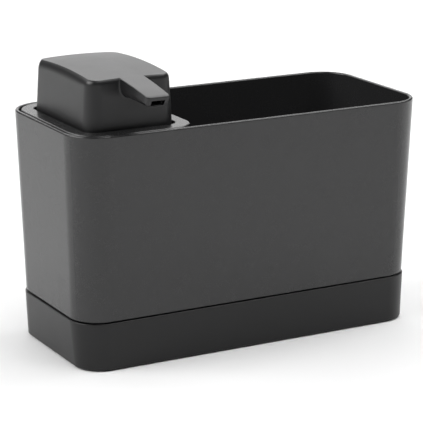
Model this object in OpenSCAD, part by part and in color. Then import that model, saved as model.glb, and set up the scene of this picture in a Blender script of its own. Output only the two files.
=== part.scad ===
// Soap pump caddy: a tapered caddy in a drip tray, with a soap bottle and a press pump built into its left end.
// The origin is below the middle of the whole object, on the surface that it stands on. +Z is up, -Y is the front.

/* [Caddy] */
// Length of the caddy at its rim
rim_l = 200; // [180:1:230]
// Width of the caddy at its rim
rim_w = 91.4; // [86:0.2:110]
// Corner radius of the rim
rim_r = 18.4; // [14:0.2:24]
// Height of the rim above the surface
rim_h = 121; // [108:1:150]
// Length of the caddy where it meets the tray
waist_l = 194.2; // [176:0.2:200]
// Width of the caddy where it meets the tray
waist_w = 82.1; // [78:0.1:90]
// Corner radius where the caddy meets the tray
waist_r = 15.5; // [12:0.1:20]
// Wall thickness of the caddy
wall = 2; // [1.6:0.1:3]
// Floor thickness of the caddy
floor_t = 2; // [1.6:0.1:4]

/* [Tray] */
// Height of the tray's top edge above the surface
seam_h = 25; // [20:0.5:34]
// Length of the tray at its foot
tray_l = 192; // [174:1:198]
// Width of the tray at its foot
tray_w = 83; // [76:0.2:90]
// Corner radius of the tray at its foot
tray_r = 14.1; // [11:0.1:18]
// Wall thickness of the tray
tray_wall = 2; // [1.6:0.1:2.6]
// Floor thickness of the tray
tray_floor_t = 2; // [1.8:0.1:4]
// How deep the caddy sinks into the tray
plug_h = 9; // [6:0.5:12]
// Radius of a foot pad
pad_r = 6; // [4:0.5:8]

/* [Deck] */
// Length of the deck from left to right
deck_l = 63.8; // [60:0.2:72]
// Corner radius at the deck's right end
deck_r = 12.6; // [10:0.2:13.4]
// Thickness of the deck
deck_t = 2.2; // [1.6:0.1:3]
// Deck left of the head's well
margin_left = 7.4; // [6.6:0.1:9]
// Deck right of the head's well
margin_right = 6.6; // [6.2:0.1:9]
// Deck in front of the head's well and behind it
margin_front = 8; // [7:0.1:11]

/* [Bottle] */
// Wall thickness of the bottle
bottle_wall = 1.8; // [1.4:0.1:2.4]
// Gap between the bottle and the caddy
bottle_gap = 0.7; // [0.5:0.1:1.2]

/* [Pump head] */
// Height of the head's crown above the rim
head_h = 27.2; // [25.6:0.2:32]
// Corner radius of the head
head_r = 8; // [6:0.1:10]
// Wall thickness of the head
head_wall = 2; // [1.6:0.1:2.4]
// Radius of the crown, from front to back
crown_r = 320; // [280:5:420]
// Radius of the crown's edges at the sides and the back
head_edge_r = 4.5; // [3:0.1:5]

/* [Spout] */
// Reach of the spout in front of the head
spout_l = 27.6; // [20:0.2:32]
// Width of the spout where it leaves the head
spout_w = 13.4; // [12.8:0.1:15]
// Width of the spout at its tip
tip_w = 12.6; // [12:0.1:13.6]
// Width of the outlet
outlet_w = 6.8; // [5:0.1:7]
// Height of the outlet
outlet_h = 2.5; // [2:0.1:2.8]

/* [Pump] */
// Travel of the head
stroke = 12; // [8:0.5:13]
// Radius of the barrel's bore
bore_r = 5.75; // [5.5:0.05:6.5]
// Radius of the stem
stem_r = 3.5; // [3.4:0.05:3.8]
// Radius of the stem's bore
stem_bore_r = 2; // [1.6:0.05:2.1]
// Outer radius of the dip tube
dip_r = 3; // [2.6:0.05:3.2]
// Wall thickness of the dip tube
dip_wall = 0.9; // [0.6:0.05:1.1]
// Radius of the suction ball
inlet_ball_r = 2.75; // [2.6:0.05:2.9]
// Radius of the delivery ball
outlet_ball_r = 2.5; // [2.4:0.05:2.6]
// Wire radius of the return spring
wire_r = 0.45; // [0.35:0.05:0.5]
// Turns of the return spring
spring_turns = 7; // [5:1:9]

/* [Hidden] */
$fn = 64;

caddy_colour = [0.29, 0.29, 0.3];
tray_colour = [0.17, 0.17, 0.175];
pump_colour = [0.86, 0.87, 0.88];
rubber_colour = [0.1, 0.1, 0.1];
steel_colour = [0.72, 0.73, 0.75];

// Fineness of the lofted shells
corner_steps = 8;
edge_steps = 3;
crown_steps = 7;
keel_steps = 5;

// Cuts run past the faces that they open
overrun = 1;
// Faces that rest on each other
seat_gap = 0.05;
// A running fit, on the radius
run_gap = 0.05;
// A push fit, on the radius
push_gap = 0.02;

// Tray and caddy
seam_gap = 0.5;
tray_lip = 0.6;
tray_edge_r = 1;
lip_edge_r = 0.5;
rim_edge_r = 0.7;
floor_fillet = 2;
plug_gap = 0.35;
plug_edge_r = 0.6;
pad_out = 0.5;
pad_recess = 1;
pad_fit = 0.1;
pad_inset = 14;
rib_t = 1.8;
rib_reach = 8;
rib_wall_share = 0.15;
rib_place_shares = [-0.32, 0, 0.32];
slot_w = 3;
slot_l = 50;
slot_pitch = 9;
slot_margin = 12;
fence_t = 1.8;
fence_h = 8;
fence_l = 46;
fence_gap = 0.5;

waist_z = seam_h + seam_gap;
plug_z = waist_z - plug_h;
floor_z = plug_z + floor_t;
tray_floor_z = pad_out + tray_floor_t;
shoulder_z = waist_z + wall;

// Deck and well
deck_gap = 0.6;
deck_corner_extra = 1.5;
deck_edge_r = 0.8;
well_lip_r = 0.5;
well_wall = 1.6;
well_r_share = 0.75;
head_gap = 0.7;
head_sink = 3;
head_floor_gap = 2;
skirt_t = 1.6;
skirt_h = 6;
skirt_gap = 0.2;
seal_t = 0.8;
seal_h = 2;
seal_gap = 0.1;

skirt_z = rim_h - head_sink;
well_z = skirt_z - stroke - head_floor_gap;
deck_under_z = rim_h - deck_t;

// Bottle
bottle_lip = 0.8;
bottle_draft = 1.5;
bottle_edge_r = 2.5;
mouth_edge_r = 0.5;
bottle_z = floor_z + seat_gap;
mouth_z = deck_under_z - seat_gap;

// Head and spout
head_draft = 1.2;
front_edge_r = 2.5;
inner_edge_r = 2;
crown_y = 2;
press_gap = 3.5;
keel_w = 3;
keel_h = 2.6;
spout_edge_r = 0.5;
root_flare = 1;
root_flare_l = 1.6;
tip_round = 2;
tip_sweep = 2.8;
tip_face_t = 1.3;
outlet_lift = 0.6;
duct_raise = 0.25;
duct_squeeze = 0.6;
duct_t = 0.6;
duct_fit = 0.1;

crown_z = rim_h + head_h;
spout_z = rim_h + stroke + press_gap;
outlet_z = spout_z + outlet_lift + outlet_h / 2;
duct_z = outlet_z + duct_raise;
bore_w = outlet_w - 2 * duct_squeeze;
bore_h = outlet_h - duct_squeeze;
duct_w = bore_w + 2 * duct_t;
duct_h = bore_h + 2 * duct_t;

// Pump barrel and what closes its mouth
barrel_wall = 1.25;
gasket_t = 1;
flange_t = 2;
flange_r = 9.5;
flange_fit = 0.2;
boss_t = 1.6;
boss_h = 2.6;
thread_gap = 0.1;
collar_t = 2;
collar_lip = 2;
collar_foot_gap = 0.4;
guide_depth = 6;
guide_rim_h = 2.5;
guide_rim_t = 2;
wiper_t = 1.5;
wiper_h = 1.4;
vent_r = 0.6;
gasket_z = well_z;
flange_z = gasket_z + gasket_t;
flange_top = flange_z + flange_t;
guide_z = flange_top - guide_depth;
boss_r = flange_r + flange_fit + boss_t;

// Piston, measured down from the guide that stops it
piston_stop_gap = 0.1;
piston_h = 4.7;
piston_lip_h = 1.2;
piston_waist = 0.7;
spigot_t = 0.9;
retainer_h = 3;
pilot_h = 2.5;
pilot_t = 1.6;
spring_gap = 0.5;
spring_l = 27;
spring_steps = 12;
wire_sides = 6;
piston_top = guide_z - piston_stop_gap;
piston_z = piston_top - piston_h;
retainer_z = piston_z - retainer_h;
spigot_r = stem_bore_r + spigot_t;
spring_r = bore_r - spring_gap - wire_r;
spring_z = retainer_z - spring_l;

// Suction valve and tube socket, measured down from the spring's seat
cage_t = 1.5;
cage_hole_r = 0.9;
cage_holes = 3;
ball_lift = 1.2;
ball_top_gap = 0.3;
ball_side_gap = 0.6;
seat_hole_share = 0.76;
seat_t = 2;
socket_l = 12;
socket_wall = 1.5;
cone_h = 4;
dip_fit = 0.02;
dip_end_gap = 1.5;
dip_slant = -40;
cage_z = spring_z - cage_t;
inlet_ball_z = cage_z - ball_top_gap - ball_lift - inlet_ball_r;
inlet_seat_r = inlet_ball_r * seat_hole_share;
inlet_seat_z = inlet_ball_z - seat_gap - sqrt(inlet_ball_r ^ 2 - inlet_seat_r ^ 2);
socket_top = inlet_seat_z - seat_t;
socket_z = socket_top - socket_l;
socket_r = dip_r + dip_fit + socket_wall;
dip_z = bottle_z + bottle_wall + dip_end_gap;

// Stem top, delivery valve and core, measured from the duct
core_top_t = 2.2;
core_r = 6.9;
core_neck_r = 5.5;
core_grip = 10;
core_boss_t = 1.6;
core_skirt_h = 3;
outlet_ball_drop = 2.2;
duct_back = 4.3;
chamber_r = outlet_ball_r + ball_side_gap;
stem_top = duct_z - bore_h / 2 - outlet_ball_drop;
outlet_ball_z = stem_top + seat_gap + sqrt(outlet_ball_r ^ 2 - stem_bore_r ^ 2);
chamber_top = outlet_ball_z + outlet_ball_r + ball_lift + ball_top_gap;
core_top = chamber_top + core_top_t;
core_z = stem_top - core_grip;

// Outlines are [left, right, front, back, left corner radius, right corner radius]
function outline(l, w, r) = [-l / 2, l / 2, -w / 2, w / 2, r, r];
function grown(o, d) = [o[0] - d, o[1] + d, o[2] - d, o[3] + d, o[4] + d, o[5] + d];
function mix(a, b, share) = a * (1 - share) + b * share;
// The tighter of two outlines on each side, with the rounder corners
function tighter(a, b) = [max(a[0], b[0]), min(a[1], b[1]), max(a[2], b[2]), min(a[3], b[3]),
                          max(a[4], b[4]), max(a[5], b[5])];

rim_outline = outline(rim_l, rim_w, rim_r);
waist_outline = outline(waist_l, waist_w, waist_r);
tray_top_outline = grown(waist_outline, tray_lip);
tray_foot_outline = outline(tray_l, tray_w, tray_r);
function caddy_outline(z) = mix(waist_outline, rim_outline, (z - waist_z) / (rim_h - waist_z));
function tray_outline(z) = mix(tray_foot_outline, tray_top_outline, (z - pad_out) / (seam_h - pad_out));
function plug_outline(z) = grown(tray_outline(z), -tray_wall - plug_gap);

rim_inner = grown(rim_outline, -wall);
deck_x0 = rim_inner[0] + deck_gap;
deck_x1 = deck_x0 + deck_l;
deck_y1 = rim_inner[3] - deck_gap;
deck_left_r = rim_inner[4] - deck_gap + deck_corner_extra;
deck_outline = [deck_x0, deck_x1, -deck_y1, deck_y1, deck_left_r, deck_r];

well_x0 = deck_x0 + margin_left;
well_x1 = deck_x1 - margin_right;
well_y1 = deck_y1 - margin_front;
well_r = head_r * well_r_share;
well_outline = [well_x0, well_x1, -well_y1, well_y1, well_r, well_r];
head_x0 = well_x0 + head_gap;
head_x1 = well_x1 - head_gap;
head_y1 = well_y1 - head_gap;
head_outline = [head_x0, head_x1, -head_y1, head_y1, head_r, head_r];
pump_x = (well_x0 + well_x1) / 2;

plug_floor_inner = grown(plug_outline(floor_z), -wall - bottle_gap);
plug_inner = tighter(plug_floor_inner, grown(plug_outline(waist_z), -wall - bottle_gap));
mouth_inner = grown(caddy_outline(mouth_z), -wall - bottle_gap);
bottle_x1 = deck_x1 - bottle_lip;
bottle_right_r = deck_r - bottle_lip;
bottle_foot = [plug_inner[0], bottle_x1 - bottle_draft, plug_inner[2], plug_inner[3],
               plug_inner[4], bottle_right_r];
bottle_mouth = [mouth_inner[0], bottle_x1, mouth_inner[2], mouth_inner[3], mouth_inner[4], bottle_right_r];
function bottle_outline(z) = mix(bottle_foot, bottle_mouth, max(0, (z - shoulder_z) / (mouth_z - shoulder_z)));
function bottle_inner(z) = grown(bottle_outline(z), -bottle_wall);

// The whole object's middle lies between the spout's tip and the rim's back edge
tip_y = -head_y1 - spout_l;
centre_y = (-tip_y - rim_w / 2) / 2;

module centred() {
    translate([0, centre_y, 0]) children();
}

module on_pump_axis() {
    translate([pump_x, centre_y, 0]) children();
}

// One level of a shell: the outline's points at height z, from the front's right end round by the back
function ring(o, z, side_steps = 1) = [
    for (corner = [0:3])
        let (right = corner < 2,
             back = corner == 1 || corner == 2,
             r = right ? o[5] : o[4],
             x = right ? o[1] - r : o[0] + r,
             y = back ? o[3] - r : o[2] + r,
             y_next = back ? o[2] + r : o[3] - r,
             steps_after = corner == 0 || corner == 2 ? side_steps : 1,
             side_x = right ? o[1] : o[0])
            each concat(
                [for (s = [0:corner_steps])
                    let (a = 90 * (corner - 1 + s / corner_steps))
                        [x + r * cos(a), y + r * sin(a), z]],
                steps_after > 1 ? [for (s = [1:steps_after - 1]) [side_x, mix(y, y_next, s / steps_after), z]] : [])
];

// Rings round an outer edge at the foot, over an outer edge at the top, over an inner one, and into a floor
function round_foot(o, z, r) = [
    for (s = [0:edge_steps]) let (a = 90 * s / edge_steps) ring(grown(o, r * (sin(a) - 1)), z + r * (1 - cos(a)))];
function round_rim(o, z, r) = [
    for (s = [0:edge_steps]) let (a = 90 * s / edge_steps) ring(grown(o, r * (cos(a) - 1)), z - r * (1 - sin(a)))];
function round_mouth(o, z, r) = [
    for (s = [edge_steps:-1:0]) let (a = 90 * s / edge_steps) ring(grown(o, r * (1 - cos(a))), z - r * (1 - sin(a)))];
function round_floor(o, z, r) = [
    for (s = [0:edge_steps]) let (a = 90 * s / edge_steps) ring(grown(o, r * (cos(a) - 1)), z + r * (1 - sin(a)))];

// A skin over rings of equally many points, with its ends capped by strips, or closed into a band
module loft(rings, closed = false) {
    n = len(rings[0]);
    last = len(rings) - 1;
    sides = [
        for (k = [0:closed ? last : last - 1], i = [0:n - 1])
            let (a = k * n + i,
                 b = k * n + (i + 1) % n,
                 next = ((k + 1) % (last + 1)) * n,
                 c = next + (i + 1) % n,
                 d = next + i)
                each [[a, d, c], [a, c, b]]];
    first_cap = [
        for (i = [0:n / 2 - 2])
            each [[i, i + 1, n - 2 - i], [i, n - 2 - i, n - 1 - i]]];
    last_cap = [for (face = first_cap) [last * n + face[2], last * n + face[1], last * n + face[0]]];
    polyhedron(points = [for (level = rings) each level],
               faces = closed ? sides : concat(sides, first_cap, last_cap));
}

// A slot of width w and overall length l, along Y
module slot_shape(w, l) {
    square([w, l - w], center = true);
    for (side = [-1, 1])
        translate([0, side * (l - w) / 2]) circle(w / 2);
}

// A tube of outer radius r and inner radius bore, standing on z
module tube(z, h, r, bore) {
    translate([0, 0, z]) difference() {
        cylinder(r = r, h = h);
        translate([0, 0, -overrun]) cylinder(r = bore, h = h + 2 * overrun);
    }
}

module foot_places() {
    for (x = [-1, 1], y = [-1, 1])
        translate([x * (tray_l / 2 - pad_inset), y * (tray_w / 2 - pad_inset), 0]) children();
}

// Ribs on the tray's floor that carry the caddy's plug
module tray_ribs() {
    h = plug_z - seat_gap - pad_out - tray_floor_t / 2;
    end_x = tray_l / 2 - tray_wall * rib_wall_share;
    end_y = tray_w / 2 - tray_wall * rib_wall_share;
    z = pad_out + tray_floor_t / 2;
    reach = rib_reach + tray_wall;
    for (side = [-1, 1]) {
        translate([side * (end_x - reach / 2), 0, z + h / 2]) cube([reach, rib_t, h], center = true);
        for (share = rib_place_shares)
            translate([share * tray_l, side * (end_y - reach / 2), z + h / 2])
                cube([rib_t, reach, h], center = true);
    }
}

module base_tray() {
    top = tray_outline(seam_h);
    color(tray_colour) centred() difference() {
        union() {
            loft(concat(
                round_foot(tray_outline(pad_out), pad_out, tray_edge_r),
                round_rim(top, seam_h, lip_edge_r),
                round_mouth(grown(top, -tray_wall), seam_h, lip_edge_r),
                round_floor(grown(tray_outline(tray_floor_z), -tray_wall), tray_floor_z, floor_fillet)));
            tray_ribs();
        }
        foot_places() translate([0, 0, pad_out - overrun]) cylinder(r = pad_r + pad_fit, h = pad_recess + overrun);
    }
}

module foot_pads() {
    color(rubber_colour) centred() foot_places() cylinder(r = pad_r, h = pad_out + pad_recess);
}

// Slots in the floor of the open end, from the fence to the right wall
module drain_slots() {
    x0 = deck_x1 + slot_margin;
    x1 = plug_floor_inner[1] - slot_margin;
    count = floor((x1 - x0) / slot_pitch);
    for (i = [0:count])
        translate([x0 + (x1 - x0) * i / count, 0, plug_z - overrun])
            linear_extrude(floor_t + 2 * overrun) slot_shape(slot_w, slot_l);
}

// A low fence on the floor that keeps the bottle in its place
module bottle_fence() {
    x = bottle_foot[1] + fence_gap + fence_t / 2;
    translate([x, 0, plug_z + floor_t / 2 + fence_h / 2]) cube([fence_t, fence_l, fence_h + floor_t], center = true);
}

module caddy_body() {
    color(caddy_colour) centred() difference() {
        union() {
            loft(concat(
                round_foot(plug_outline(plug_z), plug_z, plug_edge_r),
                [ring(plug_outline(waist_z), waist_z)],
                round_foot(caddy_outline(waist_z), waist_z, lip_edge_r),
                round_rim(rim_outline, rim_h, rim_edge_r),
                round_mouth(rim_inner, rim_h, rim_edge_r),
                [ring(grown(caddy_outline(shoulder_z), -wall), shoulder_z),
                 ring(grown(plug_outline(waist_z), -wall), waist_z)],
                round_floor(grown(plug_outline(floor_z), -wall), floor_z, floor_fillet)));
            bottle_fence();
        }
        drain_slots();
    }
}

module reservoir() {
    color(pump_colour, 0.6) centred() loft(concat(
        round_foot(bottle_foot, bottle_z, bottle_edge_r),
        [ring(bottle_outline(shoulder_z), shoulder_z)],
        round_rim(bottle_mouth, mouth_z, mouth_edge_r),
        round_mouth(grown(bottle_mouth, -bottle_wall), mouth_z, mouth_edge_r),
        [ring(bottle_inner(shoulder_z), shoulder_z)],
        round_floor(bottle_inner(bottle_z), bottle_z + bottle_wall, bottle_edge_r - mouth_edge_r)));
}

skirt_foot_z = deck_under_z - skirt_h;
seal_z = skirt_foot_z + (skirt_h - seal_h) / 2;
skirt_outline = grown(bottle_inner(skirt_foot_z), -skirt_gap);
groove_outline = grown(skirt_outline, -seal_t);

// The skirt below the deck that plugs the bottle's mouth, with the seal's groove round it
module deck_skirt() {
    inner = grown(skirt_outline, -skirt_t);
    top_z = deck_under_z + deck_t / 2;
    loft([ring(inner, skirt_foot_z), ring(skirt_outline, skirt_foot_z),
          ring(skirt_outline, seal_z), ring(groove_outline, seal_z),
          ring(groove_outline, seal_z + seal_h), ring(skirt_outline, seal_z + seal_h),
          ring(skirt_outline, top_z), ring(inner, top_z)], closed = true);
}

module deck_plate() {
    well_outer = grown(well_outline, well_wall);
    color(caddy_colour) difference() {
        union() {
            centred() loft(concat(
                round_foot(well_outer, well_z - well_wall, well_wall),
                [ring(well_outer, deck_under_z), ring(deck_outline, deck_under_z)],
                round_rim(deck_outline, rim_h, deck_edge_r),
                round_mouth(well_outline, rim_h, well_lip_r),
                round_floor(well_outline, well_z, well_wall)));
            centred() deck_skirt();
            on_pump_axis() tube(well_z - well_wall / 2, boss_h + well_wall / 2, boss_r, boss_r - boss_t);
        }
        on_pump_axis() translate([0, 0, well_z - well_wall - overrun])
            cylinder(r = bore_r + barrel_wall + flange_fit, h = well_wall + 2 * overrun);
    }
}

module deck_seal() {
    inner = grown(groove_outline, push_gap);
    outer = grown(bottle_inner(seal_z), -seal_gap);
    foot_z = seal_z + push_gap;
    top_z = seal_z + seal_h - push_gap;
    color(rubber_colour) centred()
        loft([ring(inner, foot_z), ring(outer, foot_z), ring(outer, top_z), ring(inner, top_z)], closed = true);
}

module pump_cylinder() {
    barrel_r = bore_r + barrel_wall;
    cone_z = inlet_seat_z;
    color(pump_colour) on_pump_axis() difference() {
        union() {
            translate([0, 0, flange_z]) cylinder(r = flange_r, h = flange_t);
            translate([0, 0, cone_z + cone_h]) cylinder(r = barrel_r, h = flange_top - cone_z - cone_h);
            translate([0, 0, cone_z]) cylinder(r1 = socket_r, r2 = barrel_r, h = cone_h);
            translate([0, 0, socket_z]) cylinder(r = socket_r, h = cone_z - socket_z);
        }
        translate([0, 0, cage_z]) cylinder(r = bore_r, h = flange_top - cage_z + overrun);
        translate([0, 0, inlet_seat_z]) cylinder(r = inlet_ball_r + ball_side_gap, h = cage_z - inlet_seat_z + overrun);
        translate([0, 0, socket_top - overrun]) cylinder(r = inlet_seat_r, h = seat_t + 2 * overrun);
        translate([0, 0, socket_z - overrun]) cylinder(r = dip_r + dip_fit, h = socket_l + overrun);
        translate([0, 0, piston_z + piston_h / 2]) rotate([0, 90, 0]) cylinder(r = vent_r, h = barrel_r + overrun);
    }
}

module cylinder_gasket() {
    color(rubber_colour) on_pump_axis()
        tube(gasket_z, gasket_t, flange_r, bore_r + barrel_wall + flange_fit);
}

module lock_collar() {
    inner = boss_r + thread_gap;
    foot_z = well_z + collar_foot_gap;
    color(pump_colour) on_pump_axis() {
        tube(foot_z, flange_top - foot_z, inner + collar_t, inner);
        tube(flange_top, collar_lip, inner + collar_t, bore_r + guide_rim_t + flange_fit);
    }
}

module stem_guide() {
    color(pump_colour) on_pump_axis() difference() {
        union() {
            translate([0, 0, guide_z]) cylinder(r = bore_r - push_gap, h = guide_depth);
            translate([0, 0, flange_top]) cylinder(r = bore_r + guide_rim_t, h = guide_rim_h);
        }
        translate([0, 0, guide_z - overrun]) cylinder(r = stem_r + run_gap, h = guide_depth + guide_rim_h + 2 * overrun);
        translate([0, 0, flange_top + guide_rim_h - wiper_h])
            cylinder(r = stem_r + wiper_t, h = wiper_h + overrun);
    }
}

module stem_wiper() {
    color(rubber_colour) on_pump_axis()
        tube(flange_top + guide_rim_h - wiper_h, wiper_h, stem_r + wiper_t - push_gap, stem_r + run_gap);
}

module inlet_cage() {
    color(pump_colour) on_pump_axis() difference() {
        translate([0, 0, cage_z]) cylinder(r = bore_r - push_gap, h = cage_t);
        for (i = [0:cage_holes - 1])
            rotate(360 * i / cage_holes) translate([inlet_ball_r - cage_hole_r, 0, cage_z - overrun])
                cylinder(r = cage_hole_r, h = cage_t + 2 * overrun);
    }
}

module inlet_ball() {
    color(steel_colour) on_pump_axis() translate([0, 0, inlet_ball_z]) sphere(inlet_ball_r);
}

// The tube's foot is cut on a slant, so that it can't seal itself on the bottle's floor
module dip_tube() {
    cutter = 4 * dip_r;
    color(pump_colour) on_pump_axis() difference() {
        tube(dip_z, socket_top - dip_z - seat_gap, dip_r, dip_r - dip_wall);
        translate([-dip_r, 0, dip_z]) rotate([0, dip_slant, 0]) translate([0, -cutter / 2, -cutter])
            cube(cutter);
    }
}

// Height of the crown's arc, which the spout's top carries on
function crown(y) = crown_z - crown_r + sqrt(crown_r ^ 2 - (y - crown_y) ^ 2);
function crowned(level, drop) = [for (p = level) [p[0], p[1], crown(p[1]) - drop]];
function flat_level(o, z) = ring(o, z, crown_steps);
function crown_level(o, drop) = crowned(ring(o, crown_z, crown_steps), drop);

// The crown's edge is rounder at the sides and the back than at the front, and changes over at the front corners
function front_share(o, y) = max(0, (o[2] + o[4] - y) / o[4]);
function crown_edge(o, a, side_r, front_r) =
    let (side = side_r * (1 - cos(a)),
         front = front_r * (1 - cos(a)),
         e = grown(o, -side),
         level = [e[0], e[1], o[2] + front, e[3], e[4], e[5]])
        [for (p = ring(level, crown_z, crown_steps))
            let (r = mix(side_r, front_r, front_share(level, p[1])))
                [p[0], p[1], crown(p[1]) - r * (1 - sin(a))]];

head_top_outline = grown(head_outline, -head_draft);

module head_shell() {
    inner_foot = grown(head_outline, -head_wall);
    inner_top = grown(head_top_outline, -head_wall);
    crown_angles = [for (s = [0:2 * edge_steps]) 90 * s / (2 * edge_steps)];
    loft(concat(
        [for (s = [edge_steps:-1:0])
            let (a = 90 * s / edge_steps)
                crown_level(grown(inner_top, inner_edge_r * (cos(a) - 1)), head_wall + inner_edge_r * (1 - sin(a)))],
        [flat_level(inner_foot, skirt_z), flat_level(head_outline, skirt_z), flat_level(head_outline, rim_h)],
        [for (a = crown_angles) crown_edge(head_top_outline, a, head_edge_r, front_edge_r)]));
}

// How far the spout's tip is swept back at height z below its top edge
function swept(top, z, sweep) = sweep * ((top - z) / (top - spout_z)) ^ 2;

// One section of the spout across Y: flat on top, with upright sides at half_w and a rounded keel that is drawn
// for keel_half_w, swept back below
function spout_section(y, keel_half_w, half_w, sweep) =
    let (top = crown(y),
         keel_x = keel_w / 2,
         right = concat(
             [for (s = [0:keel_steps])
                 let (a = 90 * (s / keel_steps - 1))
                     [min(half_w, keel_x + (keel_half_w - keel_x) * cos(a)), spout_z + keel_h * (1 + sin(a))]],
             [[half_w, top - spout_edge_r], [half_w - spout_edge_r, top]]),
         n = len(right))
        concat([for (p = right) [p[0], y + swept(top, p[1], sweep), p[1]]],
               [for (i = [n - 1:-1:0]) [-right[i][0], y + swept(top, right[i][1], sweep), right[i][1]]]);

spout_root_y = -head_y1 + head_draft + front_edge_r;

module spout_body() {
    root = spout_w / 2;
    flared = root + root_flare;
    tip = tip_w / 2;
    face_y = -head_y1;
    round_y = tip_y + tip_round;
    steps = [for (s = [0:edge_steps]) 90 * s / edge_steps];
    loft(concat(
        [spout_section(spout_root_y, flared, flared, 0)],
        [for (a = steps)
            let (half_w = flared - root_flare * sin(a))
                spout_section(face_y - root_flare_l * (1 - cos(a)), half_w, half_w, 0)],
        [for (a = steps)
            spout_section(round_y - tip_round * sin(a), tip, tip - tip_round * (1 - cos(a)), tip_sweep)]));
}

// The duct ends behind the swept face of the spout's tip
duct_end = tip_y + tip_face_t + swept(crown(tip_y), duct_z - duct_h / 2, tip_sweep);

module pump_head() {
    boss_top = crown_z - head_wall / 2;
    color(tray_colour) on_pump_axis() difference() {
        union() {
            translate([-pump_x, 0, 0]) head_shell();
            spout_body();
            translate([0, 0, core_top - core_skirt_h])
                cylinder(r = core_r + core_boss_t, h = boss_top - core_top + core_skirt_h);
        }
        translate([0, 0, core_top - core_skirt_h - overrun])
            cylinder(r = core_r + push_gap, h = core_skirt_h + overrun);
        translate([-duct_w / 2 - duct_fit, duct_end, duct_z - duct_h / 2 - duct_fit])
            cube([duct_w + 2 * duct_fit, -duct_end - core_r / 2, duct_h + 2 * duct_fit]);
        translate([-outlet_w / 2, tip_y - overrun, outlet_z - outlet_h / 2])
            cube([outlet_w, duct_end - tip_y + overrun + duct_fit, outlet_h]);
    }
}

module actuator_core() {
    color(pump_colour) on_pump_axis() difference() {
        union() {
            translate([0, 0, core_z]) cylinder(r = core_neck_r, h = core_top - core_z);
            translate([0, 0, stem_top]) cylinder(r = core_r, h = core_top - stem_top);
        }
        translate([0, 0, core_z - overrun]) cylinder(r = stem_r + push_gap, h = core_grip + overrun);
        translate([0, 0, stem_top - overrun]) cylinder(r = chamber_r, h = chamber_top - stem_top + overrun);
        translate([-duct_w / 2 - push_gap, -core_r - overrun, duct_z - duct_h / 2 - push_gap])
            cube([duct_w + 2 * push_gap, core_r - duct_back + overrun, duct_h + 2 * push_gap]);
        translate([-bore_w / 2, -duct_back - overrun, duct_z - bore_h / 2])
            cube([bore_w, duct_back + overrun, bore_h]);
    }
}

module spout_duct() {
    color(pump_colour) on_pump_axis() translate([0, -duct_back, duct_z]) rotate([90, 0, 0])
        linear_extrude(-duct_end - duct_back) difference() {
            square([duct_w, duct_h], center = true);
            square([bore_w, bore_h], center = true);
        }
}

module outlet_ball() {
    color(steel_colour) on_pump_axis() translate([0, 0, outlet_ball_z]) sphere(outlet_ball_r);
}

module pump_stem() {
    color(pump_colour) on_pump_axis() {
        tube(piston_top, stem_top - piston_top, stem_r, stem_bore_r);
        tube(retainer_z, piston_top - retainer_z, spigot_r, stem_bore_r);
    }
}

module piston_seal() {
    lip_r = bore_r - run_gap;
    color(rubber_colour) on_pump_axis() {
        tube(piston_z, piston_lip_h, lip_r, spigot_r + push_gap);
        tube(piston_z + piston_lip_h, piston_h - 2 * piston_lip_h, lip_r - piston_waist, spigot_r + push_gap);
        tube(piston_top - piston_lip_h, piston_lip_h, lip_r, spigot_r + push_gap);
    }
}

module piston_retainer() {
    color(pump_colour) on_pump_axis() {
        tube(retainer_z, retainer_h, bore_r - spring_gap, spigot_r + push_gap);
        tube(retainer_z - pilot_h, pilot_h, stem_bore_r + pilot_t, stem_bore_r);
    }
}

// The wire's section at an angle along the coil
function wire_section(a, z) = [
    for (i = [0:wire_sides - 1])
        let (t = 360 * i / wire_sides, r = spring_r + wire_r * cos(t))
            [r * cos(a), r * sin(a), z + wire_r * sin(t)]];

module return_spring() {
    z0 = spring_z + wire_r + seat_gap;
    z1 = retainer_z - wire_r - seat_gap;
    steps = spring_turns * spring_steps;
    color(steel_colour) on_pump_axis()
        loft([for (s = [steps:-1:0]) wire_section(360 * s / spring_steps, mix(z0, z1, s / steps))]);
}

base_tray();
foot_pads();
caddy_body();
reservoir();
deck_plate();
deck_seal();
pump_cylinder();
cylinder_gasket();
lock_collar();
stem_guide();
stem_wiper();
inlet_cage();
inlet_ball();
dip_tube();
pump_head();
actuator_core();
spout_duct();
outlet_ball();
pump_stem();
piston_seal();
piston_retainer();
return_spring();
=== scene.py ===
import math

import bmesh
import bpy
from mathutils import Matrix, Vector


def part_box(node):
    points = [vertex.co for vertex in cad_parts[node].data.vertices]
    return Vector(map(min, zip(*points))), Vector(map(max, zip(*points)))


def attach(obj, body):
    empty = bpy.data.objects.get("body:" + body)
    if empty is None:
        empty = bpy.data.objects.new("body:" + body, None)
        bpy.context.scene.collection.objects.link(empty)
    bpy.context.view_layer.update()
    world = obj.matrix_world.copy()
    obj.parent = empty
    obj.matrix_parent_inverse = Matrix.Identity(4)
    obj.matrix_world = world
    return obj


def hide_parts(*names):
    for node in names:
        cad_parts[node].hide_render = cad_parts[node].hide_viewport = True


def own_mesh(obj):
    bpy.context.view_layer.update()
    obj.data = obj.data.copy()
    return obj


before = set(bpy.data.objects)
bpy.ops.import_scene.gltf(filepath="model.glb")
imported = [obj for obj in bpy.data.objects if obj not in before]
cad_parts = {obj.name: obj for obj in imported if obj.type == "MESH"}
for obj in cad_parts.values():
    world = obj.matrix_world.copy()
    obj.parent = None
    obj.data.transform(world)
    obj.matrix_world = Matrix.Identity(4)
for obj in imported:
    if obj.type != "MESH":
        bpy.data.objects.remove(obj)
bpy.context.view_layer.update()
scene = bpy.context.scene

# Soap pump caddy. Lengths are millimetres, and turn into metres where vertices are made.
MM = 0.001


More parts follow.
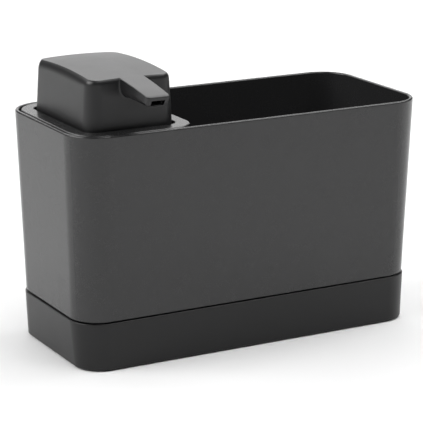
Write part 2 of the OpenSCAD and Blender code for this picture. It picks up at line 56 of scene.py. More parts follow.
class Span:
    """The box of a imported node, in millimetres. half_l is the radius of a round piece."""

    def __init__(self, node):
        low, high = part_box(node)
        self.x0, self.y0, self.z0 = (c / MM for c in low)
        self.x1, self.y1, self.z1 = (c / MM for c in high)
        self.length = self.x1 - self.x0
        self.width = self.y1 - self.y0
        self.height = self.z1 - self.z0
        self.half_l = self.length / 2
        self.mid_z = (self.z0 + self.z1) / 2


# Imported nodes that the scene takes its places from
tray = Span("base_tray")
caddy = Span("caddy_body")
bottle = Span("reservoir")
deck = Span("deck_plate")
press = Span("pump_head")
duct = Span("spout_duct")
core = Span("actuator_core")
stem = Span("pump_stem")
outlet_ball = Span("outlet_ball")
seal = Span("piston_seal")
retainer = Span("piston_retainer")
spring = Span("return_spring")
barrel = Span("pump_cylinder")
collar = Span("lock_collar")
gasket = Span("cylinder_gasket")
guide = Span("stem_guide")
wiper = Span("stem_wiper")
cage = Span("inlet_cage")
inlet_ball = Span("inlet_ball")
tube = Span("dip_tube")

centre_y = (caddy.y0 + caddy.y1) / 2
pump_x = (press.x0 + press.x1) / 2
rim_z = caddy.z1

# Fits and edges that several pieces share
overrun = 1
push_gap = 0.02
run_gap = 0.05
crisp_edge = 0.1
fine_edge = 0.2
soft_edge = 0.3
# Solid turned pieces start and end at this radius, where a face closes them
axis_r = 0.02

# Caddy
wall = 2
seam_gap = 0.5
waist_r = 15.5
rim_r = 18.4
rim_edge_r = 0.95
lip_edge_r = 0.5
plug_gap = 0.35
plug_edge_r = 0.6
plug_top_r = 0.15
inner_bend_r = 1
floor_fillet = 2
floor_border = 8
slot_w = 3
slot_l = 50
slot_pitch = 9
slot_margin = 12
slot_edge = 0.4
fence_t = 1.8
fence_l = 46
fence_h = 8
fence_gap = 0.5
fence_end_r = 0.8
fence_crest_r = 0.7
fence_crest_share = 0.45
floor_z = caddy.z0 + wall

# Tray and its pads
tray_l = 192
tray_w = 83
tray_r = 14.1
tray_lip = 0.6
tray_edge_r = 1
rib_t = 1.8
rib_reach = 8
rib_wall_share = 0.15
rib_place_shares = (-0.32, 0, 0.32)
rib_play = 0.05
rib_end_r = 0.4
rib_crest_r = 0.5
rib_crest_share = 0.4
pad_r = 6
pad_out = 0.5
pad_recess = 1
pad_inset = 14
pad_fit = 0.1
tray_floor_z = tray.z0 + wall
waist_z = tray.z1 + seam_gap
waist_l = tray.length - 2 * tray_lip
waist_w = tray.width - 2 * tray_lip

# Deck and its seal
deck_t = 2.2
deck_r = 12.6
deck_gap = 0.6
deck_corner_extra = 1.5
deck_edge_r = 0.8
head_gap = 0.7
well_r = 6
well_wall = 1.6
well_lip_r = 0.5
boss_t = 1.6
boss_h = 2.6
skirt_t = 1.6
skirt_h = 6
skirt_gap = 0.2
seal_t = 0.8
seal_h = 2
seal_gap = 0.1
deck_left_r = rim_r - wall - deck_gap + deck_corner_extra
deck_under_z = rim_z - deck_t
well_z = deck.z0 + well_wall

# Bottle
bottle_wall = 1.8
bottle_lip = 0.8
bottle_draft = 1.5
bottle_gap = 0.7
bottle_edge_r = 2.5
bottle_inner_edge_r = 2
bottle_bend_r = 1
mouth_edge_r = 0.5
bottle_floor_border = 6

# Press head
head_r = 8
head_wall = 2
head_draft = 1.2
head_stroke = 12
foot_edge_r = 0.4
side_edge_h = 5.2
front_edge_h = 2.6
edge_inset_share = 0.35
edge_change_l = 9
crease_angle = 60
inner_edge_r = 2
crown_r = 320
crown_y = 2
core_r = 6.9
core_boss_t = 1.6
core_skirt_h = 3
core_boss_root = 1.2
channel_gap = 0.1
channel_end_y = -3.4
crown_z = press.z1
head_half_w = press.y1 - centre_y

# Spout and its duct
press_gap = 3.5
spout_root_w = 13.4
spout_tip_w = 12.6
keel_w = 3
keel_root_h = 5.4
keel_tip_h = 2.2
spout_edge_r = 0.5
root_flare = 1
root_flare_top = 0.3
first_section_l = 2.5
tip_round = 2
tip_sweep = 2.8
outlet_w = 7.1
outlet_h = 2.6
outlet_lift = 0.6
outlet_edge = 0.18
outlet_overlap = 0.4
duct_t = 0.6
duct_edge_r = 0.5
duct_bore_edge_r = 0.3
spout_z = rim_z + head_stroke + press_gap
outlet_z = spout_z + outlet_lift + outlet_h / 2
tip_y = press.y0 - centre_y
duct_front_y = duct.y0 - centre_y
duct_back_y = duct.y1 - centre_y
duct_half_h = duct.height / 2

# Pump
bore_r = 5.75
barrel_r = 7
flange_fit = 0.2
guide_rim_t = 2
thread_gap = 0.1
vent_r = 0.6
stem_bore_r = 2
spigot_r = 2.9
ball_room = 0.6
stem_r = stem.half_l
boss_bore_r = barrel.half_l + flange_fit
boss_r = boss_bore_r + boss_t


def cosine(degrees):
    return math.cos(math.radians(degrees))


def sine(degrees):
    return math.sin(math.radians(degrees))


def mixed(a, b, share):
    return tuple(p + (q - p) * share for p, q in zip(a, b))


def spaced(start, end, count):
    """count places inside the stretch from start to end, at even steps."""
    return [start + (end - start) * i / (count + 1) for i in range(1, count + 1)]


def spread(start, end, count):
    """count places from start to end, both among them, at even steps."""
    return [start + (end - start) * i / (count - 1) for i in range(count)]


# Outlines are levels: (left, right, front, back, left corner radius, right corner radius, height)


def level(length, width, r, z, x=0.0, y=0.0):
    return (x - length / 2, x + length / 2, y - width / 2, y + width / 2, r, r, z)


def round_level(r, z, x=0.0, y=0.0):
    return level(2 * r, 2 * r, r, z, x, y)


def grown(base, d):
    x0, x1, y0, y1, left_r, right_r, z = base
    return (x0 - d, x1 + d, y0 - d, y1 + d, max(0, left_r + d), max(0, right_r + d), z)


def lifted(base, z):
    """The same outline at height z."""
    return (*base[:-1], z)


def between(a, b, z):
    """The level at height z on the straight wall from level a to level b."""
    return mixed(a, b, (z - a[-1]) / (b[-1] - a[-1]))


CORNER_STEPS = 20


def ring(base, corner_steps=CORNER_STEPS, columns=(), rows=0):
    """Points round a level, from the front's right end round by the back.
    columns are places in X on the front and the back. rows counts a side's points between its corners."""
    x0, x1, y0, y1, left_r, right_r, z = base
    corners = [(x1 - right_r, y0 + right_r, right_r), (x1 - right_r, y1 - right_r, right_r),
               (x0 + left_r, y1 - left_r, left_r), (x0 + left_r, y0 + left_r, left_r)]
    stretches = [
        [(x1, y, z) for y in spaced(y0 + right_r, y1 - right_r, rows)],
        [(x, y1, z) for x in reversed(columns)],
        [(x0, y, z) for y in spaced(y1 - left_r, y0 + left_r, rows)],
        [(x, y0, z) for x in columns],
    ]
    points = []
    for turn, ((x, y, r), stretch) in enumerate(zip(corners, stretches)):
        for step in range(corner_steps + 1):
            a = 90 * (turn - 1 + step / corner_steps)
            points.append((x + r * cosine(a), y + r * sine(a), z))
        points += stretch
    return points


def arc_through(before, corner, after, reach, steps):
    """Levels along the arc that rounds a corner of a profile, reach away from it on both sides.
    The profile's lengths and turn are those on its right side."""
    def run(a, b):
        return math.hypot(b[1] - a[1], b[-1] - a[-1])

    def direction(a, b):
        return (b[1] - a[1]) / run(a, b), (b[-1] - a[-1]) / run(a, b)

    reach = min(reach, run(before, corner) * 0.49, run(corner, after) * 0.49)
    start = mixed(corner, before, reach / run(before, corner))
    end = mixed(corner, after, reach / run(corner, after))
    into, out = direction(before, corner), direction(corner, after)
    turn = math.acos(max(-1, min(1, into[0] * out[0] + into[1] * out[1])))
    weight = math.cos(turn / 2)
    found = []
    for step in range(steps + 1):
        u = step / steps
        parts = ((1 - u) ** 2, 2 * u * (1 - u) * weight, u ** 2)
        found.append(tuple((parts[0] * p + parts[1] * q + parts[2] * r) / sum(parts)
                           for p, q, r in zip(start, corner, end)))
    return found


def softened(corners, closed=False, steps=5):
    """The levels of a profile whose corners, (level, radius) pairs, are rounded."""
    found = []
    for i, (corner, r) in enumerate(corners):
        inside = closed or 0 < i < len(corners) - 1
        if r and inside:
            before = corners[i - 1][0]
            after = corners[(i + 1) % len(corners)][0]
            found += arc_through(before, corner, after, r, steps)
        else:
            found.append(corner)
    return found


def object_from(mesh, name):
    """Turns a finished mesh into an object of the scene."""
    data = bpy.data.meshes.new(name)
    mesh.to_mesh(data)
    mesh.free()
    made = bpy.data.objects.new(name, data)
    scene.collection.objects.link(made)
    return made


class Skin:
    """A mesh that grows from loops of points. Its points are measured from x and the object's middle in Y."""

    def __init__(self, x=0.0):
        self.mesh = bmesh.new()
        self.x = x
        self.y = centre_y

    def point(self, x, y, z):
        return self.mesh.verts.new(((x + self.x) * MM, (y + self.y) * MM, z * MM))

    def place(self, vert):
        """Where a vertex is, as point takes it."""
        return vert.co.x / MM - self.x, vert.co.y / MM - self.y, vert.co.z / MM

    def loop(self, points):
        return [self.point(*p) for p in points]

    def face(self, *corners):
        kept = [v for i, v in enumerate(corners) if v is not corners[i - 1]]
        if len(kept) > 2:
            self.mesh.faces.new(kept)

    def strip(self, a, b, closed=True):
        """Faces between two loops of equally many points."""
        for i in range(0 if closed else 1, len(a)):
            self.face(a[i - 1], a[i], b[i], b[i - 1])

    def grow(self, last, points):
        """Faces from the last loop to a new one, which is given back."""
        new = self.loop(points)
        self.strip(last, new)
        return new

    def loft(self, rings, closed=False):
        loops = [self.loop(points) for points in rings]
        for a, b in zip(loops, loops[1:] + loops[:1] if closed else loops[1:]):
            self.strip(a, b)
        if not closed:
            self.mesh.faces.new(loops[0][::-1])
            self.mesh.faces.new(loops[-1])
        return self

    def done(self, name):
        bmesh.ops.remove_doubles(self.mesh, verts=self.mesh.verts, dist=2e-7)
        bmesh.ops.recalc_face_normals(self.mesh, faces=self.mesh.faces)
        return object_from(self.mesh, name)


def profiled(name, corners, closed=False, x=0.0, steps=5, corner_steps=CORNER_STEPS):
    """A piece whose section is a profile of (level, radius) corners."""
    levels = softened(corners, closed, steps)
    return Skin(x=x).loft([ring(one, corner_steps) for one in levels], closed).done(name)


def turned(name, corners, closed=True, steps=4, corner_steps=18):
    """A piece turned round the pump's axis, from (radius, height, edge radius) corners."""
    levels = [(round_level(r, z), edge) for r, z, edge in corners]
    return profiled(name, levels, closed, x=pump_x, steps=steps, corner_steps=corner_steps)


def upstand(name, base, top_z, crest_r, crest_inset, corner_steps):
    """A thin wall that stands on a floor, with a rounded crest."""
    top = lifted(base, top_z)
    corners = [(base, 0), (top, crest_r), (grown(top, -crest_inset), 0)]
    return profiled(name, corners, corner_steps=corner_steps)


def drill(base, z0, z1, edge, corner_steps, x=0.0):
    """A tool that cuts an outline through a plate from z0 to z1, and breaks the edges on both faces."""
    wide = grown(base, edge)
    places = [(wide, z0 - overrun), (wide, z0), (base, z0 + edge), (base, z1 - edge), (wide, z1),
              (wide, z1 + overrun)]
    return Skin(x=x).loft([ring(lifted(one, z), corner_steps) for one, z in places]).done("drill")


def evaluated(made):
    """Leaves a piece with the mesh that its modifiers give, and no modifier."""
    graph = bpy.context.evaluated_depsgraph_get()
    data = bpy.data.meshes.new_from_object(made.evaluated_get(graph))
    old = made.data
    made.modifiers.clear()
    made.data = data
    bpy.data.meshes.remove(old)


def combined(made, others, operation):
    """Adds the other solids to a piece (UNION) or cuts them from it (DIFFERENCE)."""
    for other in others:
        modifier = made.modifiers.new("solid", "BOOLEAN")
        modifier.operation = operation
        modifier.solver = "EXACT"
        modifier.object = other
        evaluated(made)
        bpy.data.objects.remove(other)


def joined(solids, name="tools"):
    """Several separate solids as one, so that one cut serves them all."""
    mesh = bmesh.new()
    for solid in solids:
        mesh.from_mesh(solid.data)
        bpy.data.objects.remove(solid)
    return object_from(mesh, name)


SHARP_ANGLE = 32
FLAT_FACE_WEIGHT = 80


def finished(made, body, node, finish):
    """Shades a piece smoothly, gives it its finish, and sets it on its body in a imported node's place."""
    made.data.shade_smooth()
    made.data.set_sharp_from_angle(angle=math.radians(SHARP_ANGLE))
    modifier = made.modifiers.new("normals", "WEIGHTED_NORMAL")
    modifier.keep_sharp = True
    modifier.weight = FLAT_FACE_WEIGHT
    evaluated(made)
    made.data.materials.clear()
    made.data.materials.append(finish)
    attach(made, body)
    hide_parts(node)


# Finishes


class Wire:
    """An output of a finish's node. A sum, difference or product on it adds its Math node."""

    def __init__(self, finish, socket):
        self.finish = finish
        self.socket = socket

    def math_node(self, operation, a, b):
        return self.finish.node("ShaderNodeMath", {"operation": operation}, {0: a, 1: b})

    def __add__(self, other):
        return self.math_node("ADD", self, other)

    def __sub__(self, other):
        return self.math_node("SUBTRACT", self, other)

    def __rsub__(self, other):
        return self.math_node("SUBTRACT", other, self)

    def __mul__(self, other):
        return self.math_node("MULTIPLY", self, other)

    __radd__ = __add__
    __rmul__ = __mul__


# The Mix node's colour sockets, which share their names with its other ones
MIX_A = 6
MIX_B = 7
MIX_RESULT = 2


class Finish:
    """A material under construction, with its one shader."""

    def __init__(self, name, **constants):
        self.material = bpy.data.materials.new(name)
        self.material.use_nodes = True
        self.tree = self.material.node_tree
        self.shader = next(n for n in self.tree.nodes if n.type == "BSDF_PRINCIPLED")
        for socket, value in constants.items():
            self.set(socket.replace("_", " "), value)

    def set(self, socket, value):
        self.give(self.shader.inputs[socket], value)

    def give(self, socket, value):
        if isinstance(value, Wire):
            self.tree.links.new(value.socket, socket)
        elif socket.type == "RGBA":
            socket.default_value = (*value, 1)
        else:
            socket.default_value = value

    def node(self, kind, settings=None, inputs=None, output=0):
        """Adds a node: its settings first, then the values or links of its sockets."""
        made = self.tree.nodes.new(kind)
        for name, value in (settings or {}).items():
            setattr(made, name, value)
        for name, value in (inputs or {}).items():
            self.give(made.inputs[name], value)
        return Wire(self, made.outputs[output])

    def place(self):
        return self.node("ShaderNodeTexCoord", output="Object")

    def noise(self, size, detail=2.0, stretch=None):
        """Noise whose grains are about size millimetres across."""
        place = self.place()
        if stretch:
            place = self.node("ShaderNodeMapping", None, {"Vector": place, "Scale": stretch})
        scale = 1 / (size * MM)
        return self.node("ShaderNodeTexNoise", None, {"Vector": place, "Scale": scale, "Detail": detail},
                         output="Fac")

    def share(self, value, start=0.3, end=0.7):
        """How far a value has come from start to end, kept from 0 to 1. The defaults suit noise."""
        return self.node("ShaderNodeMapRange", None, {"Value": value, "From Min": start, "From Max": end},
                         output="Result")

    def blended(self, share, a, b):
        return self.node("ShaderNodeMix", {"data_type": "RGBA"}, {"Factor": share, MIX_A: a, MIX_B: b},
                         output=MIX_RESULT)

    def bump(self, height, depth, strength=1.0, under=None):
        """A relief of depth millimetres, on top of the one under it."""
        inputs = {"Height": height, "Distance": depth * MM, "Strength": strength}
        if under:
            inputs["Normal"] = under
        return self.node("ShaderNodeBump", None, inputs, output="Normal")


def shade(colour, factor):
    return tuple(c * factor for c in colour)


def grey(value):
    return (value, value, value)


def moulded(name, colour, roughness, grain=0.35, relief=0.002, drift=0.03, **constants):
    """Injection-moulded plastic: a spark-eroded grain, slow waves of shrinkage, and slight drifts of tone."""
    finish = Finish(name, **constants)
    sparks = finish.noise(grain, detail=3)
    tone = finish.share(finish.noise(28, detail=3))
    rubbed = finish.share(finish.noise(11, detail=4))
    finish.set("Base Color", finish.blended(tone, shade(colour, 1 - drift), shade(colour, 1 + drift)))
    finish.set("Roughness", roughness - 0.01 + 0.03 * finish.share(sparks) + 0.024 * (rubbed - 0.5))
    swell = finish.bump(finish.noise(7, detail=1), 0.01, strength=0.1)
    finish.set("Normal", finish.bump(sparks, relief, strength=0.5, under=swell))
    return finish.material


GREY = (0.02, 0.02, 0.0205)
NEAR_BLACK = (0.009, 0.009, 0.0095)

caddy_plastic = moulded("satin_grey_plastic", GREY, 0.26, IOR=1.5)
head_plastic = moulded("satin_dark_head", NEAR_BLACK, 0.38, grain=0.3, IOR=1.48)
tray_plastic = moulded("satin_dark_plastic", shade(NEAR_BLACK, 0.6), 0.35, IOR=1.42)
bottle_plastic = moulded("smoky_bottle_plastic", (0.035, 0.035, 0.037), 0.3, IOR=1.5)
white_plastic = moulded("natural_white_plastic", (0.62, 0.63, 0.62), 0.34, drift=0.02, IOR=1.5,
                        Subsurface_Weight=0.15)
core_plastic = moulded("black_core_plastic", grey(0.005), 0.6, IOR=1.4)
tube_plastic = moulded("milky_tube_plastic", (0.68, 0.7, 0.7), 0.3, relief=0.001, drift=0.02, IOR=1.5,
                       Subsurface_Weight=0.3)
seal_plastic = moulded("soft_seal_plastic", (0.42, 0.46, 0.5), 0.45, IOR=1.48)


def dull_rubber():
    """Soft black rubber with a dusty bloom."""
    finish = Finish("dull_rubber", IOR=1.45)
    bloom = finish.share(finish.noise(3, detail=5))
    finish.set("Base Color", finish.blended(bloom, grey(0.012), (0.022, 0.022, 0.021)))
    finish.set("Roughness", 0.85 - 0.17 * (1 - finish.share(finish.noise(0.8))))
    finish.set("Normal", finish.bump(finish.noise(0.4, detail=3), 0.01, strength=0.5))
    return finish.material


def drawn_steel():
    """Bright steel with fine drawing marks."""
    finish = Finish("drawn_steel", Metallic=1.0)
    marks = finish.noise(0.5, detail=4, stretch=(1, 1, 6))
    finish.set("Base Color", finish.blended(marks, (0.5, 0.5, 0.51), (0.66, 0.66, 0.67)))
    finish.set("Roughness", 0.16 + 0.18 * finish.share(marks))
    finish.set("Normal", finish.bump(marks, 0.004, strength=0.4))
    return finish.material


rubber = dull_rubber()
steel = drawn_steel()

# Caddy and its tray

rim = level(caddy.length, caddy.width, rim_r, rim_z)
waist = level(waist_l, waist_w, waist_r, waist_z)
tray_foot = level(tray_l, tray_w, tray_r, tray.z0)
tray_top = lifted(grown(waist, tray_lip), tray.z1)


def tray_outer(z):
    return between(tray_foot, tray_top, z)


def plug(z):
    """The outline of the caddy's lower part, which stands inside the tray."""
    return grown(tray_outer(z), -wall - plug_gap)


def plug_inner(z):
    return grown(plug(z), -wall)


def caddy_inner(z):
    return grown(between(waist, rim, z), -wall)


def drain_slots():
    """Slots in the open end's floor."""
    x0 = deck.x1 + slot_margin
    x1 = plug_inner(floor_z)[1] - bottle_gap - slot_margin
    count = math.floor((x1 - x0) / slot_pitch) + 1
    slots = [level(slot_w, slot_l, slot_w / 2, 0, x) for x in spread(x0, x1, count)]
    return joined([drill(slot, caddy.z0, floor_z, slot_edge, 8) for slot in slots])


def bottle_fence():
    """The low wall that keeps the bottle in its place."""
    x = deck.x1 - bottle_lip - bottle_draft + fence_gap + fence_t / 2
    base = level(fence_t, fence_l, fence_end_r, floor_z - wall / 2, x)
    return upstand("fence", base, floor_z + fence_h, fence_crest_r, fence_t * fence_crest_share, 6)


def make_caddy():
    shell = profiled("caddy_shell", [
        (grown(plug(caddy.z0), -floor_border), 0),
        (plug(caddy.z0), plug_edge_r),
        (plug(waist_z), plug_top_r),
        (waist, lip_edge_r),
        (rim, rim_edge_r),
        (grown(rim, -wall), rim_edge_r),
        (caddy_inner(waist_z + wall), inner_bend_r),
        (plug_inner(waist_z), inner_bend_r),
        (plug_inner(floor_z), floor_fillet),
        (grown(plug_inner(floor_z), -floor_border), 0),
    ])
    combined(shell, [bottle_fence()], "UNION")
    combined(shell, [drain_slots()], "DIFFERENCE")
    finished(shell, "caddy", "caddy_body", caddy_plastic)


def tray_ribs():
    """Ribs that carry the caddy's plug, from inside the wall to their reach."""
    rib_l = rib_reach + wall
    end_x = tray_l / 2 - wall * rib_wall_share - rib_l / 2
    end_y = tray_w / 2 - wall * rib_wall_share - rib_l / 2
    foot_z = tray_floor_z - wall / 2
    bases = [level(rib_l, rib_t, rib_end_r, foot_z, side * end_x) for side in (-1, 1)]
    bases += [level(rib_t, rib_l, rib_end_r, foot_z, share * tray_l, side * end_y)
              for side in (-1, 1) for share in rib_place_shares]
    return joined([upstand("rib", base, caddy.z0 - rib_play, rib_crest_r, rib_t * rib_crest_share, 4)
                   for base in bases])


pad_places = [(x * (tray_l / 2 - pad_inset), y * (tray_w / 2 - pad_inset)) for x in (-1, 1) for y in (-1, 1)]


def pad_recesses():
    tools = []
    for x, y in pad_places:
        levels = [round_level(pad_r + pad_fit, z, x, y) for z in (tray.z0 - overrun, tray.z0 + pad_recess)]
        tools.append(Skin().loft([ring(one, 16) for one in levels]).done("recess"))
    return joined(tools)


def make_tray():
    shell = profiled("tray_shell", [
        (grown(tray_foot, -floor_border), 0),
        (tray_foot, tray_edge_r),
        (tray_top, lip_edge_r),
        (grown(tray_top, -wall), lip_edge_r),
        (grown(tray_outer(tray_floor_z), -wall), floor_fillet),
        (grown(tray_outer(tray_floor_z), -wall - floor_border), 0),
    ])
    combined(shell, [tray_ribs()], "UNION")
    combined(shell, [pad_recesses()], "DIFFERENCE")
    finished(shell, "tray", "base_tray", tray_plastic)


def make_pads():
    """Rubber pads with two grooves moulded round their soles."""
    middle_r = 1
    groove_h = 0.25
    groove_side = 0.2
    sole_edge = 0.15
    top_z = pad_out + pad_recess
    profile = [(middle_r, 0, 0)]
    for start, end in ((2, 3.1), (4, 5)):
        profile += [(start, 0, sole_edge), (start + groove_side, groove_h, crisp_edge),
                    (end - groove_side, groove_h, crisp_edge), (end, 0, sole_edge)]
    profile += [(pad_r, 0, soft_edge), (pad_r, top_z, crisp_edge), (middle_r, top_z, 0)]
    pads = []
    for x, y in pad_places:
        corners = [(round_level(r, z, x, y), edge) for r, z, edge in profile]
        pads.append(profiled("pad", corners, steps=3, corner_steps=14))
    finished(joined(pads, "rubber_pads"), "tray", "foot_pads", rubber)


# Bottle, deck and the seal between them

deck_top = (deck.x0, deck.x1, -deck.width / 2, deck.width / 2, deck_left_r, deck_r, rim_z)
well_top = (press.x0 - head_gap, press.x1 + head_gap, -head_half_w - head_gap, head_half_w + head_gap,
            well_r, well_r, rim_z)


def tighter(a, b):
    """The tighter of two outlines on each side, with the rounder corners."""
    picks = (max, min, max, min, max, max)
    return (*(pick(p, q) for pick, p, q in zip(picks, a, b)), a[-1])


bottle_right = deck.x1 - bottle_lip
bottle_corner_r = deck_r - bottle_lip
foot_room = tighter(grown(plug_inner(floor_z), -bottle_gap), grown(plug_inner(waist_z), -bottle_gap))
mouth_room = grown(caddy_inner(bottle.z1), -bottle_gap)
bottle_foot = (foot_room[0], bottle_right - bottle_draft, *foot_room[2:5], bottle_corner_r, bottle.z0)
bottle_shoulder = lifted(bottle_foot, waist_z + wall)
bottle_mouth = (mouth_room[0], bottle_right, *mouth_room[2:5], bottle_corner_r, bottle.z1)


def bottle_inner(z):
    return grown(between(bottle_shoulder, bottle_mouth, z), -bottle_wall)


def make_bottle():
    floor_top = bottle.z0 + bottle_wall
    shell = profiled("soap_bottle", [
        (grown(bottle_foot, -bottle_floor_border), 0),
        (bottle_foot, bottle_edge_r),
        (bottle_shoulder, bottle_bend_r),
        (bottle_mouth, mouth_edge_r),
        (grown(bottle_mouth, -bottle_wall), mouth_edge_r),
        (grown(bottle_shoulder, -bottle_wall), bottle_bend_r),
        (lifted(grown(bottle_foot, -bottle_wall), floor_top), bottle_inner_edge_r),
        (lifted(grown(bottle_foot, -bottle_floor_border), floor_top), 0),
    ])
    finished(shell, "bottle", "reservoir", bottle_plastic)


skirt_z = deck_under_z - skirt_h
seal_z = skirt_z + (skirt_h - seal_h) / 2
skirt = grown(bottle_inner(skirt_z), -skirt_gap)
groove = grown(skirt, -seal_t)


def make_deck():
    """The deck with its well, the boss and the hole for the barrel, and the skirt that plugs the bottle."""
    hole_r = barrel_r + flange_fit
    boss_z = well_z + boss_h
    well_outer = grown(well_top, well_wall)
    skirt_inner = grown(skirt, -skirt_t)

    def boss(r, z):
        return round_level(r, z, pump_x)

    shell = profiled("deck_cover", [
        (deck_top, deck_edge_r),
        (well_top, well_lip_r),
        (lifted(well_top, well_z), well_wall),
        (boss(boss_r, well_z), soft_edge),
        (boss(boss_r, boss_z), soft_edge),
        (boss(boss_bore_r, boss_z), soft_edge),
        (boss(boss_bore_r, well_z), crisp_edge),
        (boss(hole_r, well_z), fine_edge),
        (boss(hole_r, deck.z0), fine_edge),
        (lifted(well_outer, deck.z0), well_wall),
        (lifted(well_outer, deck_under_z), soft_edge),
        (lifted(skirt_inner, deck_under_z), soft_edge),
        (lifted(skirt_inner, skirt_z), soft_edge),
        (lifted(skirt, skirt_z), 0.4),
        (lifted(skirt, seal_z), crisp_edge),
        (lifted(groove, seal_z), crisp_edge),
        (lifted(groove, seal_z + seal_h), crisp_edge),
        (lifted(skirt, seal_z + seal_h), crisp_edge),
        (lifted(skirt, deck_under_z), fine_edge),
        (lifted(deck_top, deck_under_z), fine_edge),
    ], closed=True)
    finished(shell, "deck", "deck_plate", caddy_plastic)


def make_bottle_seal():
    """A ring with two lips towards the bottle, and a hollow between them."""
    hollow_depth = 0.35
    inner = grown(groove, push_gap)
    lip = grown(bottle_inner(seal_z), -seal_gap)
    hollow = grown(lip, -hollow_depth)
    foot = seal_z + push_gap
    height = seal_h - 2 * push_gap
    shares = [(inner, 0), (lip, 0), (lip, 0.25), (hollow, 0.4),
              (hollow, 0.6), (lip, 0.75), (lip, 1), (inner, 1)]
    corners = [(lifted(base, foot + height * share), crisp_edge) for base, share in shares]
    hoop = profiled("bottle_seal", corners, closed=True, steps=3)
    finished(hoop, "deck", "deck_seal", rubber)


# Press head: a crowned cap whose top runs out into the spout

HEAD_CORNER_STEPS = 8
SIDE_ROWS = 10
EDGE_ROWS = 8
WALL_ROWS = 3
# The rings below the mouth, above the rim, and the last one, above the foot
LOW_ROWS = (12, 8, 4, 0)
FOOT_ROW = 1
SPOUT_EDGE_ROWS = 3
KEEL_ANGLES = (15, 30, 45)
BELLY_ANGLES = (60, 75, 90)
MOUTH_ROW = EDGE_ROWS + WALL_ROWS + len(KEEL_ANGLES)
SPOUT_SIDE_ROWS = MOUTH_ROW + 1
UPRIGHT_ROWS = SPOUT_SIDE_ROWS - len(KEEL_ANGLES)

head_foot = level(press.length, 2 * head_half_w, head_r, press.z0)
head_brow = grown(head_foot, -head_draft)


def crown(y, x=0.0):
    """Height of the domed crown, which the spout's top carries on."""
    return crown_z - crown_r + math.sqrt(crown_r ** 2 - (y - crown_y) ** 2 - x ** 2)


wall_z = crown(head_brow[2]) - front_edge_h


def keel_point(a, half_w, bottom_z, keel_h):
    """X and Z of a point round the spout's underside, from its side at 0 degrees to its flat keel at 90."""
    keel_half_w = keel_w / 2
    return keel_half_w + (half_w - keel_half_w) * cosine(a), bottom_z + keel_h * (1 - sine(a))


mouth_half_w = spout_root_w / 2 + root_flare
keel_top_z = spout_z + keel_root_h


def mouth_point(a):
    """A point round the underside of the mouth in the front wall, from which the spout grows."""
    bottom_z = spout_z - root_flare
    return keel_point(a, mouth_half_w, bottom_z, keel_top_z - bottom_z)


# Columns of points on the head's front, in X: the spout's belly, the mouth's sides, and two more beyond them
outer_columns = (10.4, 13.6)
belly_columns = [mouth_point(a)[0] for a in BELLY_ANGLES]
side_columns = [mouth_half_w, *outer_columns]
half_columns = belly_columns[::-1] + side_columns
front_columns = [-x for x in reversed(half_columns)] + [0] + half_columns
under_spout = slice(len(side_columns), -len(side_columns))
BELLY_COUNT = len(front_columns[under_spout])


def head_ring(base):
    return ring(base, HEAD_CORNER_STEPS, front_columns, SIDE_ROWS)


def brow_edge_h(y, front_y, corner_r):
    """How far the crown's edge comes down: less at the front, with the change behind the front corners."""
    run = corner_r + edge_change_l
    share = max(0, min(1, (front_y + run - y) / run))
    return side_edge_h + (front_edge_h - side_edge_h) * share * share * (3 - 2 * share)


def brow_rings():
    """Rings from the crown's border, with its soft crease, over the rounded edge to the top of the walls."""
    found = []
    for row in range(EDGE_ROWS + 1):
        a = crease_angle * (1 - row / EDGE_ROWS)
        inset = edge_inset_share * (1 - cosine(a)) / (1 - cosine(crease_angle))
        drop = 1 - sine(a) / sine(crease_angle)
        inner = grown(head_brow, -side_edge_h * inset)
        front_y = head_brow[2] + front_edge_h * inset
        base = (*inner[:2], front_y, *inner[3:])
        found.append([(x, y, crown(y, x) - brow_edge_h(y, front_y, base[4]) * drop)
                      for x, y, z in head_ring(base)])
    return found


def wall_rings(brow):
    """Rings down the walls from the brow. The walls lean above the rim, and are upright below it. The heights
    are those on the front: beside the spout's mouth, round its underside, and below it."""
    heights = spread(wall_z, keel_top_z, WALL_ROWS + 1)[1:]
    heights += [mouth_point(a)[1] for a in KEEL_ANGLES]
    heights += [rim_z + above for above in LOW_ROWS]
    heights.append(press.z0 + FOOT_ROW)
    found = []
    for height in heights:
        share = (wall_z - height) / (wall_z - press.z0)
        points = []
        for (x, y, top), (foot_x, foot_y, foot_z) in zip(brow, head_ring(head_foot)):
            z = top + (foot_z - top) * share
            lean = max(0, (z - rim_z) / (top - rim_z))
            points.append((foot_x + (x - foot_x) * lean, foot_y + (y - foot_y) * lean, z))
        found.append(points)
    return found


def foot_ring(inset, a):
    """A ring at height angle a on the foot's rounded edge."""
    return head_ring(lifted(grown(head_foot, -inset), press.z0 + foot_edge_r * (1 - sine(a))))


def swept(top, z, share):
    """How far the spout's end is swept back at height z."""
    return tip_sweep * share * ((top - z) / (top - spout_z)) ** 2


